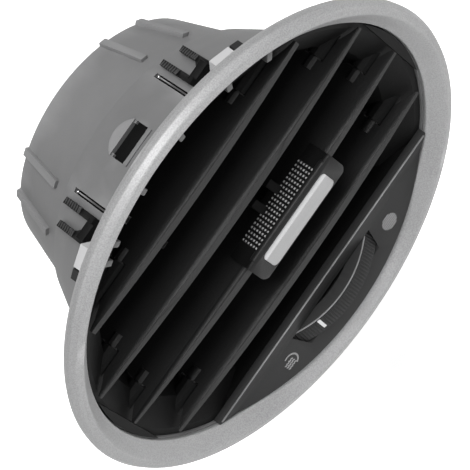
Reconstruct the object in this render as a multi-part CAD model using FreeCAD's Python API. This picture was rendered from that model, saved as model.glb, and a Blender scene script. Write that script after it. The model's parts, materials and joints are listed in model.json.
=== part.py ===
import FreeCAD, Part
import math
import os
from FreeCAD import Vector

# Round dashboard air vent, in millimetres.
# +Z is up, the face looks along -Y, +X is to the right of someone facing it.
# The origin is on the ring's axis, in the plane where the ring meets the dash.

# Trim ring
RING_RADIUS = 55.0
RING_WIDTH = 6.0
RING_SEAT_INSET = 1.1
RING_CREST_INSET = 2.5
RING_CREST = 4.5
RING_EDGE = 2.6
RING_LIP = 1.5
RING_REBATE = 0.5
REBATE_GAP = 0.2
RING_INNER_RADIUS = RING_RADIUS - RING_WIDTH

# Louvre slats and airway floor. Shares are of the ring's inner radius, above or below the axis.
TOP_SLAT_SHARE = 0.665306
BOTTOM_SLAT_SHARE = -0.37551
FLOOR_SHARE = -0.644898
SLAT_COUNT = 4
SLAT_FACE = 2.7
SLAT_BOW = 1.8
SLAT_REAR_THICKNESS = 1.2
SLAT_REAR = 9.6
SLAT_FRONT = 2.5
DOME_RADIUS = 1100.0
SLAT_PIVOT_DEPTH = 3.5
SLAT_PIVOT_DROP = 0.95
SLAT_PIN_RADIUS = 1.1
SLAT_PIN_LENGTH = 2.2
SLAT_BARREL_RADIUS = 1.5
SLAT_BARREL_LENGTH = 3.0
SLAT_BOSS_RADIUS = 2.3
SLAT_TILT_DOWN = 20.0
SLAT_TILT_UP = 10.0
SLAT_LINK_OFFSET = -12.9
SLAT_LINK_DEPTH = 8.3
SLAT_LINK_THICKNESS = 1.2
SLAT_LINK_WIDTH = 2.5
LINK_PIN_RADIUS = 0.7
FLOOR_HEIGHT = FLOOR_SHARE * RING_INNER_RADIUS
TOP_SLAT_HEIGHT = TOP_SLAT_SHARE * RING_INNER_RADIUS
BOTTOM_SLAT_HEIGHT = BOTTOM_SLAT_SHARE * RING_INNER_RADIUS
SLAT_PITCH = (TOP_SLAT_HEIGHT - BOTTOM_SLAT_HEIGHT) / (SLAT_COUNT - 1)

# Vertical vanes, close behind the slats
VANE_COUNT = 7
VANE_SPREAD = 0.514286
VANE_SIDE_GAP = 0.4
VANE_FRONT_GAP = 1.4
VANE_THICKNESS = 1.3
VANE_PIN_RADIUS = 0.8
VANE_SWING_PER_MM = 1.0 / 10.6
VANE_LINK_INSET = 1.0
VANE_LINK_RISE = 13.4
VANE_LINK_WIDTH = 2.2
VANE_LINK_THICKNESS = 1.2
HORN_ARM = 11.0
HORN_THICKNESS = 1.6
HORN_WIDTH = 2.6
HORN_PIN_RADIUS = 1.0
HORN_ROOT = 1.8
VANE_PITCH = 2 * VANE_SPREAD * RING_INNER_RADIUS / (VANE_COUNT - 1)
VANE_CHORD = VANE_PITCH - VANE_SIDE_GAP
VANE_PIVOT_DEPTH = SLAT_REAR + VANE_FRONT_GAP + VANE_CHORD / 2
VANE_LINK_ARM = VANE_CHORD / 2 - VANE_LINK_INSET

# Inner frame, which ends behind the vanes
FRAME_WALL = 1.2
FRAME_GAP = 0.25
FRAME_MARGIN = 2.5
CHEEK_WIDTH = 2.4
CHEEK_FRONT = 1.2
CHEEK_DEPTH = 3.0
CHEEK_HEIGHT = 40.0
FLOOR_THICKNESS = 1.4
FRAME_DEPTH = VANE_PIVOT_DEPTH + VANE_CHORD / 2 + FRAME_MARGIN
CHEEK_OFFSET = RING_INNER_RADIUS - CHEEK_WIDTH

# Duct housing: a short flare, a front cone, a step behind the frame, a rear cone
FLANGE_OVERHANG = 1.4
FLANGE_THICKNESS = 1.8
FLARE_DEPTH = 5.6
FRONT_CONE_SHARE = 0.885714
REAR_CONE_SHARE = 0.669388
REAR_RIM_SHARE = 0.561224
STEP_MARGIN = 2.5
STEP_HEIGHT = 1.4
HOUSING_WALL = 1.7
RIB_WIDTH = 1.7
RIB_HEIGHT = 1.0
RIB_LENGTH = 13.0
RIB_ANGLES = (29.0, 50.0, 130.0, 151.0)
STEP_DEPTH = FRAME_DEPTH + STEP_MARGIN
FRONT_CONE_RADIUS = FRONT_CONE_SHARE * RING_INNER_RADIUS
REAR_CONE_RADIUS = REAR_CONE_SHARE * RING_INNER_RADIUS
REAR_RIM_RADIUS = REAR_RIM_SHARE * RING_INNER_RADIUS

# Openings and clips on top of the front cone, as shares of its length
WINDOW_WIDTH = 8.7
WINDOW_SHARES = (0.19, 0.5)
WINDOW_NOTCH = 0.7
SLOT_OFFSET = 14.0
SLOT_WIDTH = 1.0
SLOT_SHARE = 0.82
SLIT_LENGTH = 2.6
SLIT_WIDTH = 0.8
CLIP_SHARES = (0.11, 0.853)
CLIP_INNER = 16.8
CLIP_OUTER = 21.4
CLIP_LEG_WIDTH = 1.45
CLIP_HEIGHT = 1.7
CLIP_BRIDGE_HEIGHT = 3.7
CLIP_BRIDGE_LENGTH = 1.8
CLIP_TEETH = 7
CLIP_TOOTH_PITCH = 0.95
CLIP_TOOTH_DEPTH = 0.55
CLIP_GUSSET = 3.0
CLIP_SEAT = 0.08
LUG_ANGLE = 30.0
LUG_WIDTH = 5.2
LUG_DEPTH = 4.0
LUG_INSET = 2.2
TAB_WIDTH = 2.3
TAB_GAP = 0.5

# Slide knob on the third slat
KNOB_SLAT = 2
KNOB_WIDTH = 28.6
KNOB_TRAVEL = 8.0
KNOB_AT_REST = 7.0
KNOB_FRONT = 5.0
KNOB_DROP = 3.1
KNOB_RIDGE = 3.0
KNOB_TOP_REAR = 2.0
KNOB_CORNER = 3.0
KNOB_GAP = 0.22
STRIP_WIDTH = 21.3
STRIP_HEIGHT = 6.3
STRIP_THICKNESS = 0.9
STRIP_PROUD = 0.2
STRIP_DROP = 1.45
STRIP_CORNER = 1.4
STRIP_FACET = 1.5
FORK_SLOT = 3.2
FORK_TINE = 1.9
FORK_REAR = 10.2
FORK_HEIGHT = 4.3
FORK_ROOT = 1.4
FORK_RELIEF = 3.0
HORN_RISE = 2.6
HORN_PIN_RISE = 2.0

# Lower control panel, hung from the airway floor
PANEL_RISE = 0.8
PANEL_STRIP = 4.5
PANEL_LEAN = 9.0
PANEL_FRONT = 2.0
PANEL_CREASE_FRONT = 1.15
PANEL_THICKNESS = 1.6
PANEL_GAP = 0.3
PANEL_SKIRT = 1.2
WHEEL_SLOT_WIDTH = 25.1
WHEEL_SLOT_CORNER = 2.2
WHEEL_SLOT_GAP = 0.4
PANEL_TOP = FLOOR_HEIGHT + PANEL_RISE
PANEL_CREASE = PANEL_TOP - PANEL_STRIP

# Shutter in the rear duct: three blades side by side
BLADE_END_GAP = 0.55
BLADE_GAP = 0.3
BLADE_THICKNESS = 1.6
BLADE_FRONT_GAP = 0.6
BLADE_REAR_GAP = 1.0
BLADE_AT_REST = -15.3
BLADE_CLOSED = -85.0
SHAFT_RADIUS = 1.6
SHAFT_PIN = 1.6
SHAFT_BOSS_RADIUS = 3.0
BOSS_DROP = 0.8
CRANK_ARM = 5.0
CRANK_ANGLE = 42.5
CRANK_THICKNESS = 1.5
CRANK_WIDTH = 5.0
CRANK_RIM = 0.9
CRANK_PIN_RADIUS = 0.9
SHUTTER_LINK_THICKNESS = 1.5
SHUTTER_LINK_WIDTH = 3.2
MEAN_DUCT_RADIUS = (REAR_CONE_RADIUS + REAR_RIM_RADIUS) / 2 - HOUSING_WALL
BLADE_PITCH = (MEAN_DUCT_RADIUS - BLADE_END_GAP + BLADE_GAP) / 1.5
BLADE_HALF_CHORD = BLADE_PITCH / 2 - BLADE_GAP
SHUTTER_DEPTH = FRAME_DEPTH + BLADE_FRONT_GAP + BLADE_HALF_CHORD
BODY_DEPTH = SHUTTER_DEPTH + BLADE_HALF_CHORD + BLADE_REAR_GAP
BOSS_BOTTOM = FLOOR_HEIGHT - BOSS_DROP

# Thumbwheel below the floor, and its gear
WHEEL_DROP = 5.0
WHEEL_PROUD = 4.2
WHEEL_HEIGHT = 5.4
WHEEL_FLARE = 0.8
WHEEL_RIM = 2.4
WHEEL_BEAD = 0.35
WHEEL_BEAD_HEIGHT = 0.5
WHEEL_SPAN = 60.0
WHEEL_AT_REST = -19.0
WHEEL_WEB = 1.6
WHEEL_HUB_RADIUS = 4.4
WHEEL_GAP = 0.6
AXLE_RADIUS = 2.0
AXLE_BOSS_WALL = 2.0
AXLE_END = 1.3
AXLE_HEAD_RADIUS = 3.2
AXLE_HEAD = 1.2
GEAR_DISTANCE = 11.8
GEAR_RISE = 0.6
GEAR_HEIGHT = 3.4
WHEEL_TEETH = 14
PINION_TEETH = 10
PRESSURE_ANGLE = 25.0
ADDENDUM = 0.75
DEDENDUM = 1.05
BACKLASH = 0.15
WHEEL_PIVOT_DEPTH = SHUTTER_DEPTH - GEAR_DISTANCE
WHEEL_TOP_RADIUS = WHEEL_PIVOT_DEPTH + WHEEL_PROUD
WHEEL_BOTTOM_RADIUS = WHEEL_TOP_RADIUS + WHEEL_FLARE
WHEEL_TOP = FLOOR_HEIGHT - WHEEL_DROP

# Small round parts are moulded with flats: up to this radius, this many
FLAT_COUNTS = ((1.3, 8), (2.4, 12), (5.0, 20))

# Fits
PRESSED = 0.02
RUNNING = 0.05
SWING_GAP = 0.35
SEAT_GAP = 0.1
SIDE_GAP = 0.3
FACE_GAP = 0.2


def revolved(points):
    """Solid of revolution about the vent's axis, from (radius, depth) points."""
    corners = [Vector(radius, depth, 0) for radius, depth in points]
    face = Part.Face(Part.makePolygon(corners + corners[:1]))
    return face.revolve(Vector(0, 0, 0), Vector(0, 1, 0), 360)


def plan(points, low, high):
    """Plan outline of (x, y) points between two heights."""
    corners = [Vector(x, y, low) for x, y in points]
    face = Part.Face(Part.makePolygon(corners + corners[:1]))
    return face.extrude(Vector(0, 0, high - low))


def front_view(points, front, rear):
    """Front outline of (x, z) points between two depths."""
    corners = [Vector(x, front, z) for x, z in points]
    face = Part.Face(Part.makePolygon(corners + corners[:1]))
    return face.extrude(Vector(0, rear - front, 0))


def side_view(points, left, right):
    """Side outline of (y, z) points between two places across."""
    corners = [Vector(left, y, z) for y, z in points]
    face = Part.Face(Part.makePolygon(corners + corners[:1]))
    return face.extrude(Vector(right - left, 0, 0))


def block(left, right, front, rear, low, high):
    """Box between two places across, two depths and two heights."""
    return Part.makeBox(right - left, rear - front, high - low, Vector(left, front, low))


def slab(front, rear, low, high):
    """Box across the whole vent."""
    return block(-RING_RADIUS, RING_RADIUS, front, rear, low, high)


def flats(radius):
    """Number of flats of a small round part, or none for a true cylinder."""
    for limit, count in FLAT_COUNTS:
        if radius <= limit:
            return count
    return 0


def bore(radius, play):
    """Radius of a hole whose flats stay clear of a pin by the play."""
    return (radius + play) / math.cos(math.pi / flats(radius))


def ring_of_points(radius, count):
    """Evenly spaced points on a circle, as pairs."""
    turns = [2 * math.pi * (step + 0.5) / count for step in range(count)]
    return [(radius * math.cos(turn), radius * math.sin(turn)) for turn in turns]


def post(radius, low, high, x, y):
    """Upright cylinder."""
    count = flats(radius)
    if count == 0:
        return Part.makeCylinder(radius, high - low, Vector(x, y, low))
    return plan([(x + a, y + b) for a, b in ring_of_points(radius, count)], low, high)


def crossbar(radius, left, right, y, z):
    """Cylinder across the vent."""
    return side_view([(y + a, z + b) for a, b in ring_of_points(radius, flats(radius))], left, right)


def spun(shape, angle, x, y):
    """Copy turned about an upright axis, in degrees."""
    copy = shape.copy()
    copy.rotate(Vector(x, y, 0), Vector(0, 0, 1), angle)
    return copy


def about_axis(shape, angle):
    """Copy turned about the vent's own axis, clockwise from the top as seen from the front."""
    copy = shape.copy()
    copy.rotate(Vector(0, 0, 0), Vector(0, 1, 0), angle)
    return copy


def across(points, value):
    """Straight-line reading of (value, result) points in rising order."""
    for (low, start), (high, end) in zip(points, points[1:]):
        if value <= high:
            return start + (end - start) * (value - low) / (high - low)
    return points[-1][1]


def half_width(radius, height):
    """Half of the circle's width at a height, or nothing outside it."""
    return math.sqrt(max(radius * radius - height * height, 0.0))


# Lines of the two nested cones. The housing's inside follows its outside by the wall,
# the frame follows the housing's inside by the gap, and the airway follows the frame.
FRONT_CONE_REAR = REAR_CONE_RADIUS + STEP_HEIGHT
FRONT_SLOPE = (FRONT_CONE_RADIUS - FRONT_CONE_REAR) / (STEP_DEPTH - FLARE_DEPTH)
REAR_SLOPE = (REAR_CONE_RADIUS - REAR_RIM_RADIUS) / (BODY_DEPTH - STEP_DEPTH)
FRONT_WALL = HOUSING_WALL * math.hypot(1.0, FRONT_SLOPE)
REAR_WALL = HOUSING_WALL * math.hypot(1.0, REAR_SLOPE)
MOUTH_RADIUS = RING_INNER_RADIUS
FLANGE_RADIUS = MOUTH_RADIUS + FLANGE_OVERHANG
FRAME_SHELL = FRAME_WALL * math.hypot(1.0, FRONT_SLOPE)
FLARE_TURN = FLARE_DEPTH - HOUSING_WALL * 0.8
FRAME_TURN = FLARE_TURN - FRAME_WALL * 0.9


def front_cone(depth):
    """Outside radius of the housing's front cone."""
    return FRONT_CONE_REAR + FRONT_SLOPE * (STEP_DEPTH - depth)


def rear_cone(depth):
    """Outside radius of the housing's rear cone."""
    return REAR_RIM_RADIUS + REAR_SLOPE * (BODY_DEPTH - depth)


def duct_radius(depth):
    """Inside radius of the housing behind the frame."""
    return rear_cone(depth) - REAR_WALL


def frame_outer(depth):
    """Outside radius of the inner frame's cone."""
    return front_cone(depth) - FRONT_WALL - FRAME_GAP


FRAME_MOUTH = MOUTH_RADIUS - FRAME_GAP
AIRWAY_MOUTH = FRAME_MOUTH - FRAME_WALL * 1.35
AIRWAY = (
    (-RING_CREST, RING_INNER_RADIUS - SIDE_GAP),
    (-SWING_GAP, RING_INNER_RADIUS - SIDE_GAP),
    (0.0, AIRWAY_MOUTH),
    (FRAME_TURN, frame_outer(FRAME_TURN) - FRAME_SHELL),
    (FRAME_DEPTH, frame_outer(FRAME_DEPTH) - FRAME_SHELL),
)


def airway_radius(depth):
    """Inside radius of the airway, from the ring's lip to the rear of the frame."""
    return across(AIRWAY, depth)


def make_trim_ring():
    """Ring with a pillow-shaped front, a thin rear edge and a slanting inner lip."""
    shoulder = (RING_INNER_RADIUS + 1.1, -RING_LIP - 0.8)
    crest = (RING_RADIUS - RING_CREST_INSET, -RING_CREST)
    rim = (RING_RADIUS, -RING_EDGE)
    seat = (RING_RADIUS - RING_SEAT_INSET, 0.0)
    profile = [
        (FLANGE_RADIUS + REBATE_GAP, 0.0),
        (FLANGE_RADIUS + REBATE_GAP, -RING_REBATE),
        (RING_INNER_RADIUS + REBATE_GAP, -RING_REBATE),
        (RING_INNER_RADIUS, -RING_LIP),
        shoulder,
    ]
    profile += arc_points(shoulder, (crest[0] - 1.2, -RING_CREST + 0.9), crest, 3)
    profile += arc_points(crest, (RING_RADIUS - 0.75, -RING_CREST + 0.35), rim, 4)
    profile += arc_points(rim, (RING_RADIUS - 0.3, -RING_EDGE * 0.45), seat, 2)
    return revolved(profile)


def arc_points(start, middle, end, count):
    """Points after the start of an arc through three (radius, depth) points, in equal steps."""
    arc = Part.Arc(*[Vector(radius, depth, 0) for radius, depth in (start, middle, end)])
    return [(point.x, point.y) for point in arc.toShape().discretize(count + 1)[1:]]


def housing_outside(inset=0.0):
    """The housing's outer form as a full solid, or a slimmer one within its wall."""
    return revolved([
        (0, -RING_REBATE),
        (FLANGE_RADIUS - inset - RING_REBATE, -RING_REBATE),
        (FLANGE_RADIUS - inset, 0),
        (FLANGE_RADIUS - inset, FLANGE_THICKNESS),
        (FRONT_CONE_RADIUS - inset, FLARE_DEPTH),
        (FRONT_CONE_REAR - inset, STEP_DEPTH),
        (REAR_CONE_RADIUS - inset, STEP_DEPTH),
        (REAR_RIM_RADIUS - inset, BODY_DEPTH),
        (0, BODY_DEPTH),
    ])


def housing_inside():
    """The housing's hollow: frame seat in front, a shoulder, then the duct."""
    seat = FRAME_DEPTH + SEAT_GAP
    return revolved([
        (0, -1),
        (MOUTH_RADIUS, -1),
        (MOUTH_RADIUS, FLANGE_THICKNESS * 0.35),
        (front_cone(FLARE_TURN) - FRONT_WALL, FLARE_TURN),
        (front_cone(seat) - FRONT_WALL, seat),
        (duct_radius(seat), seat),
        (duct_radius(BODY_DEPTH + 1), BODY_DEPTH + 1),
        (0, BODY_DEPTH + 1),
    ])


def cone_rib(width, height, front, rear):
    """Raised rib along the top of the rear cone."""
    root = REAR_WALL * 0.5
    return side_view([
        (front, rear_cone(front) - root),
        (front, rear_cone(front) + height),
        (rear, rear_cone(rear) + height),
        (rear, rear_cone(rear) - root),
    ], -width / 2, width / 2)


def blade_places():
    """Places across of the three shutter shafts."""
    return (-BLADE_PITCH, 0.0, BLADE_PITCH)


def boss_face(place):
    """Height of the upper shaft bearing's face, clear of the sloping duct wall."""
    reach = abs(place) + SHAFT_BOSS_RADIUS
    return half_width(duct_radius(SHUTTER_DEPTH + SHAFT_BOSS_RADIUS), reach) - FACE_GAP


def wheel_sweep():
    """Room that the turning wheel needs."""
    return post(WHEEL_BOTTOM_RADIUS + WHEEL_GAP, WHEEL_TOP - WHEEL_HEIGHT - WHEEL_GAP,
                WHEEL_TOP + WHEEL_SLOT_GAP, 0, WHEEL_PIVOT_DEPTH)


def make_housing():
    """One moulding: two cones with a step, ribs, clip slots, shutter bearings and wheel bay."""
    shell = housing_outside().cut(housing_inside())
    core = housing_outside(HOUSING_WALL / 3)
    rib = cone_rib(RIB_WIDTH, RIB_HEIGHT, BODY_DEPTH - RIB_LENGTH, BODY_DEPTH)
    for angle in RIB_ANGLES:
        shell = shell.fuse(about_axis(rib, angle))
        shell = shell.fuse(about_axis(rib, -angle))
    for place in blade_places():
        top = post(SHAFT_BOSS_RADIUS, boss_face(place), REAR_CONE_RADIUS, place, SHUTTER_DEPTH)
        shell = shell.fuse(top.common(core))
        bottom = post(SHAFT_BOSS_RADIUS, BOSS_BOTTOM, -boss_face(place), place, SHUTTER_DEPTH)
        shell = shell.fuse(bottom)
    axle_boss = post(AXLE_RADIUS + AXLE_BOSS_WALL, WHEEL_TOP - SIDE_GAP, FLOOR_HEIGHT - FLOOR_THICKNESS,
                     0, WHEEL_PIVOT_DEPTH)
    shell = shell.cut(wheel_sweep())
    shell = shell.fuse(axle_boss)
    shell = shell.cut(post(bore(AXLE_RADIUS, PRESSED), WHEEL_TOP - 1, axle_top(), 0, WHEEL_PIVOT_DEPTH))
    for place in blade_places():
        shaft = post(bore(SHAFT_RADIUS, RUNNING), BOSS_BOTTOM - 1, blade_pin_top(place) + FACE_GAP,
                     place, SHUTTER_DEPTH)
        shell = shell.cut(shaft)
    for side in (-1, 1):
        shell = shell.cut(clip_slot(side))
    shell = shell.cut(window_opening())
    shell = shell.fuse(window_bead().cut(housing_inside()))
    return shell.removeSplitter()


def along_cone(share):
    """Depth at a share of the front cone's length."""
    return FLARE_DEPTH + share * (STEP_DEPTH - FLARE_DEPTH)


def window_opening():
    """Window on top of the front cone, with small steps in its corners."""
    front, rear = [along_cone(share) for share in WINDOW_SHARES]
    half = WINDOW_WIDTH / 2
    wide = block(-half, half, front + WINDOW_NOTCH, rear - WINDOW_NOTCH, 0, RING_RADIUS)
    long = block(WINDOW_NOTCH - half, half - WINDOW_NOTCH, front, rear, 0, RING_RADIUS)
    return wide.fuse(long)


def window_bead():
    """Half-moon bead behind the window and a thin ledge in front of it."""
    front, rear = [along_cone(share) for share in WINDOW_SHARES]
    half = WINDOW_WIDTH / 2
    top = front_cone(rear)
    bead = post(WINDOW_WIDTH * 0.62, top - 4, top + 0.3, 0, rear - WINDOW_WIDTH * 0.35)
    keep = block(-half, half, rear, rear + 3, top - 3, top + 5)
    ledge = side_view([
        (front - 1.1, front_cone(front) - 0.5),
        (front - 1.1, front_cone(front) + 0.9),
        (front, front_cone(front) + 0.5),
        (front, front_cone(front) - 0.5),
    ], -half, half)
    return bead.common(keep).fuse(ledge)


def clip_slot(side):
    """Narrow slot beside each clip, from the flare rearward, with a short cross slit."""
    front = along_cone(0)
    outer = SLOT_OFFSET + SLOT_WIDTH / 2
    slot = block(outer - SLOT_WIDTH, outer, front, along_cone(SLOT_SHARE), 0, RING_RADIUS)
    slit = block(outer - SLIT_LENGTH, outer, front, front + SLIT_WIDTH, 0, RING_RADIUS)
    return handed(slot.fuse(slit), side)


def handed(shape, side):
    """The shape as it is on the right, or its mirror image on the left."""
    if side > 0:
        return shape
    return shape.mirror(Vector(0, 0, 0), Vector(1, 0, 0))


def slat_height(index):
    """Height of a slat's straight top edge."""
    return TOP_SLAT_HEIGHT - SLAT_PITCH * index


def slat_pivot_height(index):
    """Height of a slat's pivot axis."""
    return slat_height(index) - SLAT_PIVOT_DROP


def slat_boss_face(index):
    """Place across of a slat bearing's inner face."""
    reach = abs(slat_pivot_height(index)) + SLAT_BOSS_RADIUS
    return half_width(airway_radius(SLAT_PIVOT_DEPTH + SLAT_BOSS_RADIUS), reach) - FACE_GAP


def slat_end(index, depth):
    """Half-length of a slat at a depth, clear of the airway over the whole tilt."""
    widest = CHEEK_OFFSET - FACE_GAP
    pivot = slat_pivot_height(index)
    for tilt in (-SLAT_TILT_UP, 0.0, SLAT_TILT_DOWN / 2, SLAT_TILT_DOWN):
        turn = math.radians(tilt)
        for rise in (SLAT_PIVOT_DROP, SLAT_PIVOT_DROP - SLAT_FACE * 0.6):
            back = depth - SLAT_PIVOT_DEPTH
            y = SLAT_PIVOT_DEPTH + back * math.cos(turn) - rise * math.sin(turn)
            z = pivot + back * math.sin(turn) + rise * math.cos(turn)
            widest = min(widest, half_width(airway_radius(y + SWING_GAP), z) - SWING_GAP)
    return widest


def make_slat(index):
    """Louvre slat: domed front edge, bowed underside, tapered ends with pivot pins."""
    top = slat_height(index)
    front = -SLAT_FRONT + top * top / (2 * DOME_RADIUS)
    depths = (-0.9, -0.4, 1.0, FRAME_TURN + 0.6, SLAT_REAR)
    tip = slat_end(index, front + 0.6)
    tip_front = front + tip * tip / (2 * DOME_RADIUS)
    right = [Vector(slat_end(index, depth), depth, 0) for depth in depths]
    left = [Vector(-point.x, point.y, 0) for point in reversed(right)]
    arc = Part.Arc(Vector(-tip, tip_front, 0), Vector(0, front, 0), Vector(tip, tip_front, 0))
    outline = Part.makePolygon([Vector(tip, tip_front, 0)] + right + left
                               + [Vector(-tip, tip_front, 0)])
    wire = Part.Wire([arc.toShape()] + outline.Edges)
    blank = Part.Face(wire).extrude(Vector(0, 0, 2 * SLAT_FACE))
    blank.translate(Vector(0, 0, top - 1.5 * SLAT_FACE))
    reach = CHEEK_OFFSET + 1
    bottom = top - SLAT_FACE
    bow = Part.Arc(Vector(-reach, -10, bottom + SLAT_BOW), Vector(0, -10, bottom),
                   Vector(reach, -10, bottom + SLAT_BOW))
    lid = Part.makePolygon([Vector(reach, -10, bottom + SLAT_BOW), Vector(reach, -10, top),
                            Vector(-reach, -10, top), Vector(-reach, -10, bottom + SLAT_BOW)])
    face_view = Part.Face(Part.Wire([bow.toShape()] + lid.Edges)).extrude(Vector(0, 40, 0))
    section = side_view([
        (front - 1, bottom),
        (front + 0.5, bottom),
        (SLAT_REAR + 1, top - SLAT_REAR_THICKNESS),
        (SLAT_REAR + 1, top - 0.15),
        (front + 1.6, top),
        (front + 0.5, top - 0.12),
        (front - 0.1, top - 0.55),
        (front - 1, top - 0.9),
    ], -reach, reach)
    slat = blank.common(face_view).common(section)
    boss = slat_boss_face(index)
    y = SLAT_PIVOT_DEPTH
    z = slat_pivot_height(index)
    for side in (-1, 1):
        def bar(radius, start, end):
            low, high = sorted((side * start, side * end))
            return crossbar(radius, low, high, y, z)
        slat = slat.cut(bar(SLAT_BOSS_RADIUS + SWING_GAP, boss - SIDE_GAP, reach))
        slat = slat.fuse(bar(SLAT_BARREL_RADIUS, boss - SLAT_BARREL_LENGTH, boss - SIDE_GAP))
        slat = slat.fuse(bar(SLAT_PIN_RADIUS, boss - 1.0, boss + SLAT_PIN_LENGTH))
    notch = SLAT_LINK_THICKNESS / 2 + SIDE_GAP
    slat = slat.cut(block(SLAT_LINK_OFFSET - notch, SLAT_LINK_OFFSET + notch,
                          SLAT_LINK_DEPTH - SLAT_LINK_WIDTH / 2 - 2 * SWING_GAP, SLAT_REAR + 1,
                          bottom, top + 1))
    slat = slat.fuse(crossbar(LINK_PIN_RADIUS, SLAT_LINK_OFFSET - 2 * notch,
                              SLAT_LINK_OFFSET + 2 * notch, SLAT_LINK_DEPTH, z))
    return max(slat.removeSplitter().Solids, key=lambda solid: solid.Volume)


def make_slat_link():
    """Bar that ties the slats together near their rear edges."""
    half = SLAT_LINK_WIDTH / 2
    low = slat_pivot_height(SLAT_COUNT - 1)
    high = slat_pivot_height(0)
    left = SLAT_LINK_OFFSET - SLAT_LINK_THICKNESS / 2
    right = left + SLAT_LINK_THICKNESS
    bar = block(left, right, SLAT_LINK_DEPTH - half, SLAT_LINK_DEPTH + half, low, high)
    for height in (low, high):
        bar = bar.fuse(crossbar(half, left, right, SLAT_LINK_DEPTH, height))
    for index in range(SLAT_COUNT):
        bar = bar.cut(crossbar(bore(LINK_PIN_RADIUS, RUNNING), left - 1, right + 1,
                               SLAT_LINK_DEPTH, slat_pivot_height(index)))
    return bar.removeSplitter()


def airway_solid():
    """The airway behind the dash plane as a solid, open to the front."""
    mouth = (-1, AIRWAY_MOUTH)
    points = [mouth] + list(AIRWAY[2:])
    return revolved([(0, -1)] + [(radius, depth) for depth, radius in points] + [(0, FRAME_DEPTH)])


def frame_outside(inset=0.0):
    """The frame's outer form as a full solid, or a slimmer one within its wall."""
    return revolved([
        (0, 0),
        (FRAME_MOUTH - inset, 0),
        (FRAME_MOUTH - inset, FLANGE_THICKNESS * 0.35),
        (frame_outer(FLARE_TURN) - inset, FLARE_TURN),
        (frame_outer(FRAME_DEPTH) - inset, FRAME_DEPTH),
        (0, FRAME_DEPTH),
    ])


def vane_places():
    """Places across of the vanes."""
    middle = (VANE_COUNT - 1) / 2
    return [VANE_PITCH * (index - middle) for index in range(VANE_COUNT)]


def vane_pin_top(place):
    """Top of a vane's upper pin, inside the frame's wall."""
    return half_width(airway_radius(VANE_PIVOT_DEPTH) + FRAME_WALL * 0.75, place)


def vane_pin_bottom(place):
    """Bottom of a vane's lower pin, in the frame's wall or floor."""
    return max(-vane_pin_top(place), FLOOR_HEIGHT - FLOOR_THICKNESS * 0.8)


def make_inner_frame():
    """Dark liner: cone shell, airway floor, cheeks, slat bearings and vane bearings."""
    outside = frame_outside()
    core = frame_outside(FRAME_WALL / 3)
    under = FLOOR_HEIGHT - FLOOR_THICKNESS
    shell = outside.cut(airway_solid())
    shell = shell.cut(slab(-1, FRAME_DEPTH + 1, -RING_RADIUS, under))
    shell = shell.fuse(slab(SEAT_GAP, FRAME_DEPTH, under, FLOOR_HEIGHT).common(outside))
    rim = FRAME_MOUTH - SEAT_GAP
    collar = revolved([(0, -CHEEK_FRONT), (rim, -CHEEK_FRONT), (rim, 0), (0, 0)])
    for side in (-1, 1):
        low, high = sorted((side * CHEEK_OFFSET, side * RING_RADIUS))
        cheek = block(low, high, -CHEEK_FRONT, CHEEK_DEPTH, -CHEEK_HEIGHT / 2, CHEEK_HEIGHT / 2)
        shell = shell.fuse(cheek.common(outside)).fuse(cheek.common(collar))
    for index in range(SLAT_COUNT):
        face = slat_boss_face(index)
        z = slat_pivot_height(index)
        for side in (-1, 1):
            low, high = sorted((side * face, side * RING_RADIUS))
            boss = crossbar(SLAT_BOSS_RADIUS, low, high, SLAT_PIVOT_DEPTH, z)
            shell = shell.fuse(boss.common(core))
            low, high = sorted((side * (face - 1), side * (face + SLAT_PIN_LENGTH + SIDE_GAP)))
            shell = shell.cut(crossbar(bore(SLAT_PIN_RADIUS, RUNNING), low, high, SLAT_PIVOT_DEPTH, z))
    for place in vane_places():
        hole = post(bore(VANE_PIN_RADIUS, RUNNING), vane_pin_bottom(place) - SEAT_GAP,
                    vane_pin_top(place) + SEAT_GAP, place, VANE_PIVOT_DEPTH)
        shell = shell.cut(hole)
    return shell.removeSplitter()


def vane_angle(slide):
    """Turn of the vanes, in degrees, for a place of the knob."""
    return math.degrees(slide * VANE_SWING_PER_MM)


def vane_reach(place, offset, side):
    """Height that a vane may have at an offset from its pivot, over the whole swing."""
    height = RING_RADIUS
    for share in (-1.0, -0.5, 0.0, 0.5, 1.0):
        turn = math.radians(vane_angle(KNOB_TRAVEL) * share)
        x = abs(place - offset * math.sin(turn)) + VANE_THICKNESS / 2
        y = VANE_PIVOT_DEPTH + offset * math.cos(turn)
        height = min(height, half_width(airway_radius(y), x) - SWING_GAP)
    if side < 0:
        height = min(height, -FLOOR_HEIGHT - SWING_GAP)
    return side * height


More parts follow.
